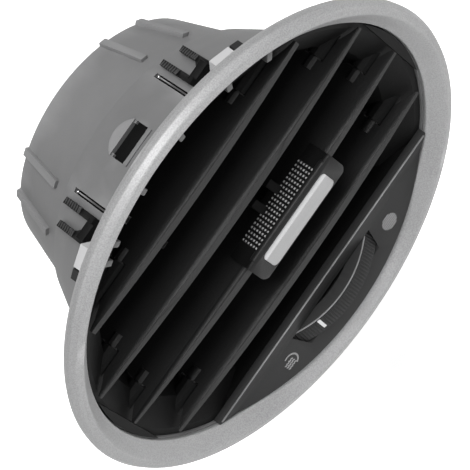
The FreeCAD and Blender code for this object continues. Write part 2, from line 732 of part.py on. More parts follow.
def make_vane(place):
    """Upright vane at zero swing, with its pins and its link notch."""
    half = VANE_CHORD / 2
    offsets = (-half, 0.0, half)
    top = [(VANE_PIVOT_DEPTH + offset, vane_reach(place, offset, 1)) for offset in offsets]
    bottom = [(VANE_PIVOT_DEPTH + offset, vane_reach(place, offset, -1))
              for offset in reversed(offsets)]
    thick = VANE_THICKNESS / 2
    blade = side_view(top + bottom, place - thick, place + thick)
    nose = VANE_PIVOT_DEPTH - half
    plan_form = plan([
        (place - thick * 0.4, nose),
        (place + thick * 0.4, nose),
        (place + thick, nose + 1.5),
        (place + thick, VANE_PIVOT_DEPTH + 1),
        (place + thick * 0.5, VANE_PIVOT_DEPTH + half),
        (place - thick * 0.5, VANE_PIVOT_DEPTH + half),
        (place - thick, VANE_PIVOT_DEPTH + 1),
        (place - thick, nose + 1.5),
    ], -RING_RADIUS, RING_RADIUS)
    vane = blade.common(plan_form)
    pin_bottom = vane_pin_bottom(place)
    pin_top = vane_pin_top(place)
    link_y = VANE_PIVOT_DEPTH + VANE_LINK_ARM
    low = vane_link_height() - VANE_LINK_THICKNESS / 2 - SIDE_GAP
    high = vane_link_height() + VANE_LINK_THICKNESS / 2 + SIDE_GAP
    notch = block(place - VANE_THICKNESS, place + VANE_THICKNESS,
                  link_y - VANE_LINK_WIDTH / 2 - 4 * SWING_GAP, link_y + VANE_CHORD, low, high)
    vane = vane.fuse(post(VANE_PIN_RADIUS, top[1][1] - 2, pin_top, place, VANE_PIVOT_DEPTH))
    vane = vane.fuse(post(VANE_PIN_RADIUS, pin_bottom, bottom[1][1] + 2, place, VANE_PIVOT_DEPTH))
    vane = vane.cut(notch)
    vane = vane.fuse(post(LINK_PIN_RADIUS, low - 1, high + 1, place, link_y))
    return vane.removeSplitter()


def vane_link_height():
    """Height of the bar that ties the vanes."""
    return slat_height(KNOB_SLAT) + VANE_LINK_RISE


def horn_bottom():
    """Underside of the horn, above the fork at any tilt."""
    return slat_height(KNOB_SLAT) + FORK_HEIGHT + HORN_RISE


def make_middle_vane():
    """Middle vane with the horn and the pin that stands in the knob's fork."""
    vane = make_vane(0.0)
    low = horn_bottom()
    high = low + HORN_THICKNESS
    relief = block(-VANE_THICKNESS, VANE_THICKNESS, VANE_PIVOT_DEPTH - VANE_CHORD / 2,
                   VANE_PIVOT_DEPTH - HORN_ROOT, slat_height(KNOB_SLAT) - FORK_RELIEF, low - SIDE_GAP)
    vane = vane.cut(relief)
    pin_y = VANE_PIVOT_DEPTH - HORN_ARM
    half = HORN_WIDTH / 2
    arm = block(-half, half, pin_y, VANE_PIVOT_DEPTH + 1, low, high)
    arm = arm.fuse(post(half, low, high, 0, pin_y))
    pin_low = slat_height(KNOB_SLAT) + HORN_PIN_RISE
    arm = arm.fuse(post(HORN_PIN_RADIUS, pin_low, high, 0, pin_y))
    return vane.fuse(arm).removeSplitter()


def vane_at_rest(shape, place):
    """Vane turned to where the knob rests."""
    return spun(shape, vane_angle(KNOB_AT_REST), place, VANE_PIVOT_DEPTH)


def make_vane_link():
    """Bar that ties the vanes together, at rest."""
    half = VANE_LINK_WIDTH / 2
    turn = math.radians(vane_angle(KNOB_AT_REST))
    shift = -VANE_LINK_ARM * math.sin(turn)
    y = VANE_PIVOT_DEPTH + VANE_LINK_ARM * math.cos(turn)
    low = vane_link_height() - VANE_LINK_THICKNESS / 2
    high = low + VANE_LINK_THICKNESS
    first = vane_places()[0] + shift
    last = vane_places()[-1] + shift
    bar = block(first, last, y - half, y + half, low, high)
    for place in (first, last):
        bar = bar.fuse(post(half, low, high, place, y))
    for place in vane_places():
        bar = bar.cut(post(bore(LINK_PIN_RADIUS, RUNNING), low - 1, high + 1, place + shift, y))
    return bar.removeSplitter()


def make_knob():
    """Slide knob at mid travel: carriage around the slat, ridge, sloping grip and fork."""
    top = slat_height(KNOB_SLAT)
    bottom = top - SLAT_FACE
    half = KNOB_WIDTH / 2
    front = -KNOB_FRONT
    low = bottom - KNOB_DROP
    ridge = top + KNOB_RIDGE
    body = side_view([
        (front + 0.5, low),
        (front, low + 0.7),
        (front, ridge - 0.7),
        (front + 0.35, ridge - 0.1),
        (front + 0.8, ridge),
        (front + 1.3, ridge - 0.3),
        (KNOB_TOP_REAR, top + 0.95),
        (KNOB_TOP_REAR, top + KNOB_GAP),
        (-SLAT_FRONT - KNOB_GAP, top + KNOB_GAP),
        (-SLAT_FRONT - KNOB_GAP, bottom - KNOB_GAP),
        (KNOB_TOP_REAR - 1, bottom - KNOB_GAP),
        (KNOB_TOP_REAR - 1, bottom - KNOB_GAP - 1.1),
        (-SLAT_FRONT, low),
    ], -half, half)
    mask = block(-half, half, front - 1, SLAT_REAR, low, ridge + 1)
    lower = [edge for edge in mask.Edges
             if abs(edge.CenterOfMass.z - low) < 1e-6 and abs(abs(edge.CenterOfMass.x) - half) < 1e-6]
    mask = mask.makeFillet(KNOB_CORNER, lower)
    knob = body.common(mask)
    strip = strip_blank(STRIP_WIDTH + 2 * RUNNING, STRIP_HEIGHT + 2 * RUNNING)
    knob = knob.cut(strip)
    slot = FORK_SLOT / 2
    outer = slot + FORK_TINE
    root = KNOB_TOP_REAR - 1.2
    fork = block(-outer, outer, root, root + 2.4, top + KNOB_GAP, top + FORK_ROOT)
    for left in (-outer, slot):
        tine = side_view([
            (root, top + KNOB_GAP),
            (FORK_REAR, top + KNOB_GAP),
            (FORK_REAR, top + FORK_HEIGHT - 0.6),
            (FORK_REAR - 0.6, top + FORK_HEIGHT),
            (KNOB_TOP_REAR + 0.6, top + FORK_HEIGHT),
            (root, top + FORK_ROOT),
        ], left, left + FORK_TINE)
        fork = fork.fuse(tine)
    return knob.fuse(fork).removeSplitter()


def strip_centre():
    """Height of the silver strip's middle on the knob."""
    return slat_height(KNOB_SLAT) - STRIP_DROP


def strip_blank(width, height):
    """Rounded bar let into the knob's front face."""
    front = -KNOB_FRONT - STRIP_PROUD
    middle = strip_centre()
    bar = block(-width / 2, width / 2, front, front + STRIP_THICKNESS, middle - height / 2,
                middle + height / 2)
    corners = [edge for edge in bar.Edges if abs(edge.Length - STRIP_THICKNESS) < 1e-6]
    return bar.makeFillet(STRIP_CORNER, corners)


def make_strip():
    """Silver strip with a chamfered upper facet, proud of the knob's face."""
    bar = strip_blank(STRIP_WIDTH, STRIP_HEIGHT)
    high = strip_centre() + STRIP_HEIGHT / 2
    front = -KNOB_FRONT - STRIP_PROUD
    wedge = side_view([
        (front - 1, high - STRIP_FACET),
        (front, high - STRIP_FACET),
        (front + STRIP_THICKNESS * 0.6, high + 0.1),
        (front - 1, high + 0.1),
    ], -KNOB_WIDTH, KNOB_WIDTH)
    return bar.cut(wedge)


def panel_depth(height):
    """Front of the control panel at a height, as a distance behind the dash plane."""
    if height > PANEL_CREASE:
        return -across(((PANEL_CREASE, PANEL_CREASE_FRONT), (PANEL_TOP, PANEL_FRONT)), height)
    return -PANEL_CREASE_FRONT - (PANEL_CREASE - height) * math.tan(math.radians(PANEL_LEAN))


def make_control_panel():
    """Crescent below the slats: slanting top strip, leaning face and the wheel's slot."""
    radius = RING_INNER_RADIUS - PANEL_GAP
    low = -RING_INNER_RADIUS
    wall = PANEL_THICKNESS
    front = [(panel_depth(height), height) for height in (PANEL_TOP, PANEL_CREASE, low)]
    face = side_view(front + [
        (panel_depth(low) + wall, low),
        (panel_depth(PANEL_CREASE) + wall, PANEL_CREASE + wall / 4),
        (panel_depth(PANEL_TOP) + wall, PANEL_TOP - wall),
        (0.0, PANEL_TOP - wall),
        (0.0, PANEL_TOP),
    ], -RING_RADIUS, RING_RADIUS)
    nose = panel_depth(low) - 1
    panel = face.common(revolved([(0, nose), (radius, nose), (radius, 0), (0, 0)]))
    skirt = revolved([
        (radius - PANEL_SKIRT, nose),
        (radius, nose),
        (radius, FLANGE_THICKNESS / 3),
        (radius - PANEL_SKIRT, FLANGE_THICKNESS * 0.6),
    ])
    skirt = skirt.common(slab(nose, FLANGE_THICKNESS, -RING_RADIUS,
                              FLOOR_HEIGHT - FLOOR_THICKNESS - SEAT_GAP))
    behind = side_view([(y + wall / 5, z) for y, z in front] + [
        (FLANGE_THICKNESS, low),
        (FLANGE_THICKNESS, PANEL_TOP),
    ], -RING_RADIUS, RING_RADIUS)
    panel = panel.fuse(skirt.common(behind))
    half = WHEEL_SLOT_WIDTH / 2
    slot_top = WHEEL_TOP + WHEEL_SLOT_GAP
    slot_low = WHEEL_TOP - WHEEL_HEIGHT - WHEEL_SLOT_GAP
    slot = front_view([
        (-half, slot_top),
        (half, slot_top),
        (half, slot_low + WHEEL_SLOT_CORNER),
        (half - WHEEL_SLOT_CORNER, slot_low),
        (-half + WHEEL_SLOT_CORNER, slot_low),
        (-half, slot_low + WHEEL_SLOT_CORNER),
    ], nose, FLANGE_THICKNESS)
    return panel.cut(slot).cut(wheel_sweep()).removeSplitter()


def axle_top():
    """Top of the wheel's axle, in its boss below the frame's floor."""
    return FLOOR_HEIGHT - FLOOR_THICKNESS - AXLE_END


def gear(teeth, module, low, high, x, y, first):
    """Spur gear with straight-sided copies of its involute flanks."""
    pitch = teeth * module / 2
    base = pitch * math.cos(math.radians(PRESSURE_ANGLE))
    tip = pitch + ADDENDUM * module
    root = pitch - DEDENDUM * module

    def involute(radius):
        angle = math.acos(min(base / radius, 1.0))
        return math.tan(angle) - angle

    half = math.pi / (2 * teeth) - BACKLASH / (4 * pitch) + involute(pitch)
    radii = (root, max(base, root + 0.1), pitch, tip)
    corners = []
    for tooth in range(teeth):
        middle = math.radians(first) + 2 * math.pi * tooth / teeth
        rising = [(radius, middle - half + involute(max(radius, base))) for radius in radii]
        falling = [(radius, middle + half - involute(max(radius, base))) for radius in reversed(radii)]
        for radius, angle in rising + falling:
            corners.append((x + radius * math.cos(angle), y + radius * math.sin(angle)))
    return plan(corners, low, high)


def gear_module():
    """Tooth size that fills the distance between wheel and shutter shaft."""
    return 2 * GEAR_DISTANCE / (WHEEL_TEETH + PINION_TEETH)


def gear_bottom():
    """Underside of both gears."""
    return WHEEL_TOP - WHEEL_HEIGHT + GEAR_RISE


def make_thumbwheel():
    """Sector wheel: conical rim, web, hub and the gear that drives the shutter."""
    y = WHEEL_PIVOT_DEPTH
    low = WHEEL_TOP - WHEEL_HEIGHT
    rim = Part.makeCone(WHEEL_BOTTOM_RADIUS, WHEEL_TOP_RADIUS, WHEEL_HEIGHT, Vector(0, y, low))
    bead = Part.makeCone(WHEEL_TOP_RADIUS + WHEEL_BEAD, WHEEL_TOP_RADIUS + WHEEL_BEAD / 2,
                         WHEEL_BEAD_HEIGHT, Vector(0, y, WHEEL_TOP - WHEEL_BEAD_HEIGHT))
    rim = rim.fuse(bead).cut(post(WHEEL_TOP_RADIUS - WHEEL_RIM, low - 1, WHEEL_TOP + 1, 0, y))
    web_low = low + WHEEL_HEIGHT / 2 - WHEEL_WEB / 2
    web = post(WHEEL_TOP_RADIUS - WHEEL_RIM / 2, web_low, web_low + WHEEL_WEB, 0, y)
    far = 4 * WHEEL_TOP_RADIUS
    spread = math.radians(WHEEL_SPAN)
    wedge = plan([
        (0, y),
        (-far * math.sin(spread), y - far * math.cos(spread)),
        (far * math.sin(spread), y - far * math.cos(spread)),
    ], low - 1, WHEEL_TOP + 1)
    sector = rim.fuse(web).common(spun(wedge, WHEEL_AT_REST, 0, y))
    hub = post(WHEEL_HUB_RADIUS, low, WHEEL_TOP - SIDE_GAP - SEAT_GAP, 0, y)
    cog = gear(WHEEL_TEETH, gear_module(), gear_bottom(), gear_bottom() + GEAR_HEIGHT, 0, y, 90)
    wheel = sector.fuse(hub).fuse(cog)
    wheel = wheel.cut(post(bore(AXLE_RADIUS, RUNNING), low - 1, WHEEL_TOP + 1, 0, y))
    return wheel.removeSplitter()


def make_wheel_axle():
    """Headed pin that carries the wheel below the housing."""
    low = WHEEL_TOP - WHEEL_HEIGHT - SIDE_GAP
    shaft = post(AXLE_RADIUS, low, axle_top(), 0, WHEEL_PIVOT_DEPTH)
    head = post(AXLE_HEAD_RADIUS, low - AXLE_HEAD, low, 0, WHEEL_PIVOT_DEPTH)
    return shaft.fuse(head).removeSplitter()


def blade_pin_top(place):
    """Top of a shutter blade's upper pin, inside its blind bearing."""
    return boss_face(place) + SHAFT_PIN


def blade_reach(place, offset):
    """Height that a shutter blade may have at an offset, over its whole swing."""
    height = RING_RADIUS
    for share in (0.0, 0.25, 0.5, 0.75, 1.0):
        turn = math.radians(BLADE_CLOSED * share)
        x = abs(place - offset * math.sin(turn)) + BLADE_THICKNESS / 4
        y = SHUTTER_DEPTH + offset * math.cos(turn)
        height = min(height, half_width(duct_radius(y), x) - SWING_GAP)
    return height


def crank_top():
    """Upper face of the shutter cranks."""
    return BOSS_BOTTOM - SIDE_GAP


def link_top():
    """Upper face of the shutter link."""
    return crank_top() - CRANK_THICKNESS - SIDE_GAP


def link_bottom():
    """Lower face of the shutter link."""
    return link_top() - SHUTTER_LINK_THICKNESS


def make_shutter_blade(place):
    """Shutter blade, wide open, with the shaft that carries its crank."""
    offsets = [BLADE_HALF_CHORD * share for share in (-1.0, -0.5, 0.5, 1.0)]
    top = [(SHUTTER_DEPTH + offset, blade_reach(place, offset)) for offset in offsets]
    bottom = [(y, -z) for y, z in reversed(top)]
    half = BLADE_THICKNESS / 2
    blade = side_view(top + bottom, place - half, place + half)
    tip = SHUTTER_DEPTH - BLADE_HALF_CHORD
    tail = SHUTTER_DEPTH + BLADE_HALF_CHORD
    lens = plan([
        (place - half * 0.35, tip),
        (place + half * 0.35, tip),
        (place + half, SHUTTER_DEPTH - 2),
        (place + half, SHUTTER_DEPTH + 2),
        (place + half * 0.35, tail),
        (place - half * 0.35, tail),
        (place - half, SHUTTER_DEPTH + 2),
        (place - half, SHUTTER_DEPTH - 2),
    ], -RING_RADIUS, RING_RADIUS)
    blade = blade.common(lens)
    face = boss_face(place) - SIDE_GAP
    for low, high in ((face, RING_RADIUS), (-RING_RADIUS, -face)):
        blade = blade.cut(post(SHAFT_BOSS_RADIUS + SWING_GAP, low, high, place, SHUTTER_DEPTH))
    shaft = post(SHAFT_RADIUS, shaft_bottom(place), blade_pin_top(place), place, SHUTTER_DEPTH)
    return blade.fuse(shaft).removeSplitter()


def shaft_bottom(place):
    """Lower end of a shutter shaft: in the pinion for the middle one, else in the crank."""
    if place == 0.0:
        return gear_bottom() - FACE_GAP
    return crank_top() - CRANK_THICKNESS


def make_crank(place):
    """Crank on a shutter shaft, for a wide open blade."""
    top = crank_top()
    low = top - CRANK_THICKNESS
    y = SHUTTER_DEPTH
    wide = CRANK_WIDTH / 2
    narrow = CRANK_PIN_RADIUS + CRANK_RIM
    arm = plan([
        (place - wide, y),
        (place + wide, y),
        (place + narrow, y + CRANK_ARM),
        (place - narrow, y + CRANK_ARM),
    ], low, top)
    crank = arm.fuse(post(wide, low, top, place, y))
    crank = crank.fuse(post(narrow, low, top, place, y + CRANK_ARM))
    crank = crank.fuse(post(CRANK_PIN_RADIUS, link_bottom() - SIDE_GAP, top, place, y + CRANK_ARM))
    crank = crank.cut(post(bore(SHAFT_RADIUS, PRESSED), low - 1, top + 1, place, y))
    return spun(crank.removeSplitter(), CRANK_ANGLE, place, y)


def crank_pin():
    """Offset of the crank pins from their shafts, at rest."""
    turn = math.radians(CRANK_ANGLE + BLADE_AT_REST)
    return -CRANK_ARM * math.sin(turn), CRANK_ARM * math.cos(turn)


def make_shutter_link():
    """Bar that ties the three cranks, at rest."""
    dx, dy = crank_pin()
    low = link_bottom()
    high = link_top()
    half = SHUTTER_LINK_WIDTH / 2
    y = SHUTTER_DEPTH + dy
    first = dx - BLADE_PITCH
    last = dx + BLADE_PITCH
    bar = block(first, last, y - half, y + half, low, high)
    for x in (first, last):
        bar = bar.fuse(post(half, low, high, x, y))
    for place in blade_places():
        bar = bar.cut(post(bore(CRANK_PIN_RADIUS, RUNNING), low - 1, high + 1, place + dx, y))
    return bar.removeSplitter()


def make_pinion():
    """Pinion on the middle shutter shaft, in mesh at rest."""
    low = gear_bottom() - FACE_GAP
    high = gear_bottom() + GEAR_HEIGHT + FACE_GAP
    half_tooth = 180.0 / PINION_TEETH
    pinion = gear(PINION_TEETH, gear_module(), low, high, 0, SHUTTER_DEPTH, -90 + half_tooth)
    return pinion.cut(post(bore(SHAFT_RADIUS, PRESSED), low - 1, high + 1, 0, SHUTTER_DEPTH))


def clip_leg(place):
    """Leg of a clip with saw teeth near its tip, following the cone."""
    front, tip = [along_cone(share) for share in CLIP_SHARES]

    def surface(depth):
        return half_width(front_cone(depth), place)
    outline = [(front, surface(front)), (front, surface(front) + CLIP_HEIGHT * 1.4)]
    start = tip - CLIP_TEETH * CLIP_TOOTH_PITCH
    for tooth in range(CLIP_TEETH):
        depth = start + tooth * CLIP_TOOTH_PITCH
        valley = depth + CLIP_TOOTH_PITCH * 0.55
        outline.append((depth, surface(depth) + CLIP_HEIGHT))
        outline.append((valley, surface(valley) + CLIP_HEIGHT - CLIP_TOOTH_DEPTH))
    outline.append((tip, surface(tip) + CLIP_HEIGHT))
    outline.append((tip, surface(tip)))
    return side_view(outline, place - CLIP_LEG_WIDTH / 2, place + CLIP_LEG_WIDTH / 2)


def make_clip(side):
    """Spring clip: two toothed legs on a bridge, with a gusset on the outer leg."""
    front, tip = [along_cone(share) for share in CLIP_SHARES]
    root = half_width(front_cone(front), CLIP_OUTER)
    bridge = block(CLIP_INNER, CLIP_OUTER, front, front + CLIP_BRIDGE_LENGTH, root,
                   root + CLIP_BRIDGE_HEIGHT)
    gusset = plan([
        (CLIP_OUTER, tip - 2 * CLIP_GUSSET),
        (CLIP_OUTER - CLIP_GUSSET, front + 1),
        (CLIP_OUTER, front + 1),
    ], 0, RING_RADIUS)
    skin = revolved([
        (front_cone(front), front),
        (front_cone(front) + CLIP_HEIGHT * 0.8, front),
        (front_cone(tip) + CLIP_HEIGHT * 0.8, tip),
        (front_cone(tip), tip),
    ])
    clip = clip_leg(CLIP_INNER).fuse(clip_leg(CLIP_OUTER)).fuse(bridge).fuse(gusset.common(skin))
    clip = clip.cut(housing_outside(-CLIP_SEAT)).removeSplitter()
    return handed(clip, side)


def tab_angle():
    """Place round the ring of the narrow block beside each lug."""
    spacing = LUG_WIDTH / 2 + TAB_WIDTH / 2 + TAB_GAP
    return LUG_ANGLE + math.degrees(spacing / (FLANGE_RADIUS - LUG_INSET))


def make_edge_block(angle, width):
    """Block between the flange and the cone, which the ring's hook grips."""
    top = FLANGE_RADIUS - LUG_INSET
    front = FLANGE_THICKNESS + RUNNING
    piece = block(-width / 2, width / 2, front, front + LUG_DEPTH, top - 2 * LUG_DEPTH, top)
    piece = about_axis(piece, angle).cut(housing_outside())
    return max(piece.Solids, key=lambda solid: solid.Volume)


nodes = {
    "trim_ring": make_trim_ring(),
    "housing": make_housing(),
    "inner_frame": make_inner_frame(),
    "control_panel": make_control_panel(),
    "slat_link": make_slat_link(),
    "vane_link": make_vane_link(),
    "thumbwheel": make_thumbwheel(),
    "wheel_axle": make_wheel_axle(),
    "shutter_pinion": make_pinion(),
    "shutter_link": make_shutter_link(),
}
for number in range(SLAT_COUNT):
    nodes["slat_%d" % (number + 1)] = make_slat(number)
slide = Vector(KNOB_AT_REST, 0, 0)
nodes["slide_knob"] = make_knob().translated(slide)
nodes["knob_strip"] = make_strip().translated(slide)
for number, vane_place in enumerate(vane_places()):
    vane_shape = make_middle_vane() if vane_place == 0.0 else make_vane(vane_place)
    nodes["vane_%d" % (number + 1)] = vane_at_rest(vane_shape, vane_place)
for name, blade_place in zip(("left", "middle", "right"), blade_places()):
    open_blade = make_shutter_blade(blade_place)
    nodes["shutter_blade_" + name] = spun(open_blade, BLADE_AT_REST, blade_place, SHUTTER_DEPTH)
    open_crank = make_crank(blade_place)
    nodes["shutter_crank_" + name] = spun(open_crank, BLADE_AT_REST, blade_place, SHUTTER_DEPTH)
for name, hand in (("left", -1), ("right", 1)):
    nodes["retaining_clip_" + name] = make_clip(hand)
    nodes["trim_lug_" + name] = make_edge_block(hand * LUG_ANGLE, LUG_WIDTH)
    nodes["lock_tab_" + name] = make_edge_block(hand * tab_angle(), TAB_WIDTH)

os.makedirs("parts", exist_ok=True)
for node, shape in nodes.items():
    solids = shape.Solids
    print(node, "solids", len(solids), "valid", shape.isValid(), "volume", round(shape.Volume, 1))
    shape.exportStep("parts/" + node + ".step")
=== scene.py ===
# %% [markdown]
# Dressing a round dashboard air vent. The construction is already there: every rigid piece
# comes in with the frame, in metres, at its real size and place. What is left to Blender is
# finish: satin lacquer on the trim ring, moulded greys and blacks, the printed signs, the grip
# pattern on the knob and the fine edges that catch the light. The first cell loads the frame.

# %% Load the construction
import bpy
import bmesh
import json
import math
from mathutils import Matrix, Vector


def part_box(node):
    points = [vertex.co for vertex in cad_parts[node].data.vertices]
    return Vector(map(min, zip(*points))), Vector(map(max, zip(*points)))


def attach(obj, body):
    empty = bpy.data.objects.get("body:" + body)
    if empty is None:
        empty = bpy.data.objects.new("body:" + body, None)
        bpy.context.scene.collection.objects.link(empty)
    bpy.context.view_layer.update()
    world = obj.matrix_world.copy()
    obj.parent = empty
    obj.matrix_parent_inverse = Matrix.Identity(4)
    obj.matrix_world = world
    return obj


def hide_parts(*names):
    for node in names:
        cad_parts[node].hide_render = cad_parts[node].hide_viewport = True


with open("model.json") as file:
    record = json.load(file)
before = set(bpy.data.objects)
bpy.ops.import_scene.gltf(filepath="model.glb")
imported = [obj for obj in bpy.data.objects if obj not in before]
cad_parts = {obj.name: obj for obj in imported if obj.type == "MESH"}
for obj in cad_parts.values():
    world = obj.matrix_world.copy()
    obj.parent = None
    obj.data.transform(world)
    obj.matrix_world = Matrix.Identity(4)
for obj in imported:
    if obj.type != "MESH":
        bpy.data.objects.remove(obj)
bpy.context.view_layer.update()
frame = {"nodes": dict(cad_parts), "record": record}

MM = 0.001
nodes = frame["nodes"]

# %% [markdown]
# The photograph looks down on the vent from the front, and the picture is rolled so that the
# vent's width climbs to the upper right. A camera is three directions: right, up and back.
# We write them from two angles, which is easier to trust than a stack of turns. The lens is
# long and the camera far away, because the ring's near and far halves are nearly one size.

# %% Camera at the photograph's angle
ELEVATION = math.radians(59.5)
ROLL = math.radians(54.9)
DISTANCE = 0.8
LENS = 299.6
SENSOR_WIDTH = 36
NEAREST_SEEN = 0.05
ORIGIN_RIGHT_OF_CENTRE = 4.346 * MM
ORIGIN_ABOVE_CENTRE = 0.706 * MM


def new_object(name, data):
    """Object in the scene that holds a camera, a lamp or a mesh."""
    made = bpy.data.objects.new(name, data)
    bpy.context.scene.collection.objects.link(made)
    return made


across = Vector((1, 0, 0))
down_the_face = Vector((0, -math.sin(ELEVATION), -math.cos(ELEVATION)))
right = math.cos(ROLL) * across + math.sin(ROLL) * down_the_face
up = math.sin(ROLL) * across - math.cos(ROLL) * down_the_face
back = right.cross(up)
target = -ORIGIN_RIGHT_OF_CENTRE * right - ORIGIN_ABOVE_CENTRE * up
camera_data = bpy.data.cameras.new("camera")
camera_data.lens = LENS
camera_data.sensor_width = SENSOR_WIDTH
camera_data.clip_start = NEAREST_SEEN
camera = new_object("camera", camera_data)
camera.matrix_world = Matrix((
    (right.x, up.x, back.x, target.x + DISTANCE * back.x),
    (right.y, up.y, back.y, target.y + DISTANCE * back.y),
    (right.z, up.z, back.z, target.z + DISTANCE * back.z),
    (0, 0, 0, 1),
))
bpy.context.scene.camera = camera
print("camera looks along", tuple(round(v, 3) for v in -back))

# %% [markdown]
# Product pictures of black plastic live on large soft lamps: the lamp's size decides how wide
# the highlight on each edge is. A broad lamp above, a weaker one in front and a weak one on
# each side leave the deep grille dark and still draw every edge.

# %% Lamps
LAMPS = (
    ("lamp_above", (0.05, -0.16, 0.88), 0.45, 8.5),
    ("lamp_front", (0.0, -0.85, 0.32), 0.5, 2.4),
    ("lamp_left", (-0.8, 0.1, 0.5), 0.5, 1.0),
    ("lamp_right", (0.8, -0.1, 0.5), 0.5, 0.8),
)
for name, place, width, watts in LAMPS:
    light = bpy.data.lights.new(name, "AREA")
    light.shape = "SQUARE"
    light.size = width
    light.energy = watts
    lamp = new_object(name, light)
    lamp.location = place
    to_vent = Vector((0, 0, 0)) - Vector(place)
    lamp.rotation_euler = to_vent.to_track_quat("-Z", "Y").to_euler()
print("lamps", len(bpy.data.lights))

# %% [markdown]
# Materials are small networks of nodes. Two kinds of node come again and again: one that
# reckons with two values, and one that maps a value from one range to another. Each gets a
# function that takes a number or another node's output, so that a network reads as a formula.

# %% Helpers for node networks
def new_material(name):
    """Material with a Principled shader, and its node tree."""
    material = bpy.data.materials.new(name)
    material.use_nodes = True
    return material, material.node_tree, material.node_tree.nodes["Principled BSDF"]


def reckon(tree, operation, value, other):
    """Result of a Math node on a node's output and a number or a second output."""
    node = tree.nodes.new("ShaderNodeMath")
    node.operation = operation
    tree.links.new(value, node.inputs[0])
    if isinstance(other, float):
        node.inputs[1].default_value = other
    else:
        tree.links.new(other, node.inputs[1])
    return node.outputs["Value"]


def map_range(tree, value, low, high, start=0.0, end=1.0):
    """Result of a Map Range node that takes start..end to low..high."""
    node = tree.nodes.new("ShaderNodeMapRange")
    node.inputs["From Min"].default_value = start
    node.inputs["From Max"].default_value = end
    node.inputs["To Min"].default_value = low
    node.inputs["To Max"].default_value = high
    tree.links.new(value, node.inputs["Value"])
    return node.outputs["Result"]


print("helpers", new_material.__name__, reckon.__name__, map_range.__name__)

# %% [markdown]
# The world is only a dim fill, though the camera sees it pale, so that the vent also stands on
# a light ground when we look at it from the side. The floor is a plain pale sheet well below
# the vent, which something holds up in the dash. The camera should see near-white, but the
# lamps must not be pushed for it. So the floor adds a little light of its own, only for the
# eye of the camera and, weaker, for reflections. It keeps the vent's soft shadow.

# %% World and floor
DIM_FILL, SEEN_BY_CAMERA = 0.16, 0.8
FLOOR_GREY, FLOOR_ROUGHNESS = 0.9, 0.8
FLOOR_GLOW, SHARE_IN_REFLECTIONS = 0.62, 0.45
FLOOR_DEPTH, FLOOR_REACH = -0.16, 3.0

world = bpy.data.worlds.new("studio")
bpy.context.scene.world = world
world.use_nodes = True
tree = world.node_tree
background = tree.nodes["Background"]
background.inputs["Color"].default_value = (1, 1, 1, 1)
rays = tree.nodes.new("ShaderNodeLightPath")
sky = map_range(tree, rays.outputs["Is Camera Ray"], DIM_FILL, SEEN_BY_CAMERA)
tree.links.new(sky, background.inputs["Strength"])
bpy.context.scene.view_settings.view_transform = "Standard"

pale_floor, tree, shader = new_material("pale_floor")
shader.inputs["Base Color"].default_value = (FLOOR_GREY, FLOOR_GREY, FLOOR_GREY, 1)
shader.inputs["Roughness"].default_value = FLOOR_ROUGHNESS
shader.inputs["Emission Color"].default_value = (1, 1, 1, 1)
rays = tree.nodes.new("ShaderNodeLightPath")
mirrored = reckon(tree, "MULTIPLY", rays.outputs["Is Glossy Ray"], SHARE_IN_REFLECTIONS)
seen = reckon(tree, "MAXIMUM", rays.outputs["Is Camera Ray"], mirrored)
glow = reckon(tree, "MULTIPLY", seen, FLOOR_GLOW)
tree.links.new(glow, shader.inputs["Emission Strength"])

sheet = bmesh.new()
bmesh.ops.create_grid(sheet, x_segments=1, y_segments=1, size=FLOOR_REACH,
                      matrix=Matrix.Translation((0, 0, FLOOR_DEPTH)))
mesh = bpy.data.meshes.new("floor")
sheet.to_mesh(mesh)
sheet.free()
floor = new_object("floor", mesh)
floor.data.materials.append(pale_floor)
print("floor at", FLOOR_DEPTH)

# %% [markdown]
# Moulded plastic is never one flat colour. Its tool leaves a fine grain that breaks up the
# highlight, and the flow of the melt leaves faint cloudy differences. One recipe covers all the
# mouldings: a cloudy noise moves the colour a little, a fine noise drives the bump, the gloss
# varies with the cloud, and convex edges are rubbed a little paler. Noise in Object
# coordinates stays put on every piece.

# %% Recipe for moulded plastic
CLOUDS_PER_METRE = 38.0
DARK_CLOUD, LIGHT_CLOUD = 0.3, 0.7
COOL_TINT = 1.01
FLECK_BAND = (0.35, 0.65)
EDGE_BAND = (0.52, 0.62)
GLOSS_SPREAD = 0.12


def noise(tree, place, scale, detail, roughness=0.5):
    """Value of a noise texture with a scale per metre."""
    node = tree.nodes.new("ShaderNodeTexNoise")
    node.inputs["Scale"].default_value = scale
    node.inputs["Detail"].default_value = detail
    node.inputs["Roughness"].default_value = roughness
    tree.links.new(place, node.inputs["Vector"])
    return node.outputs["Fac"]


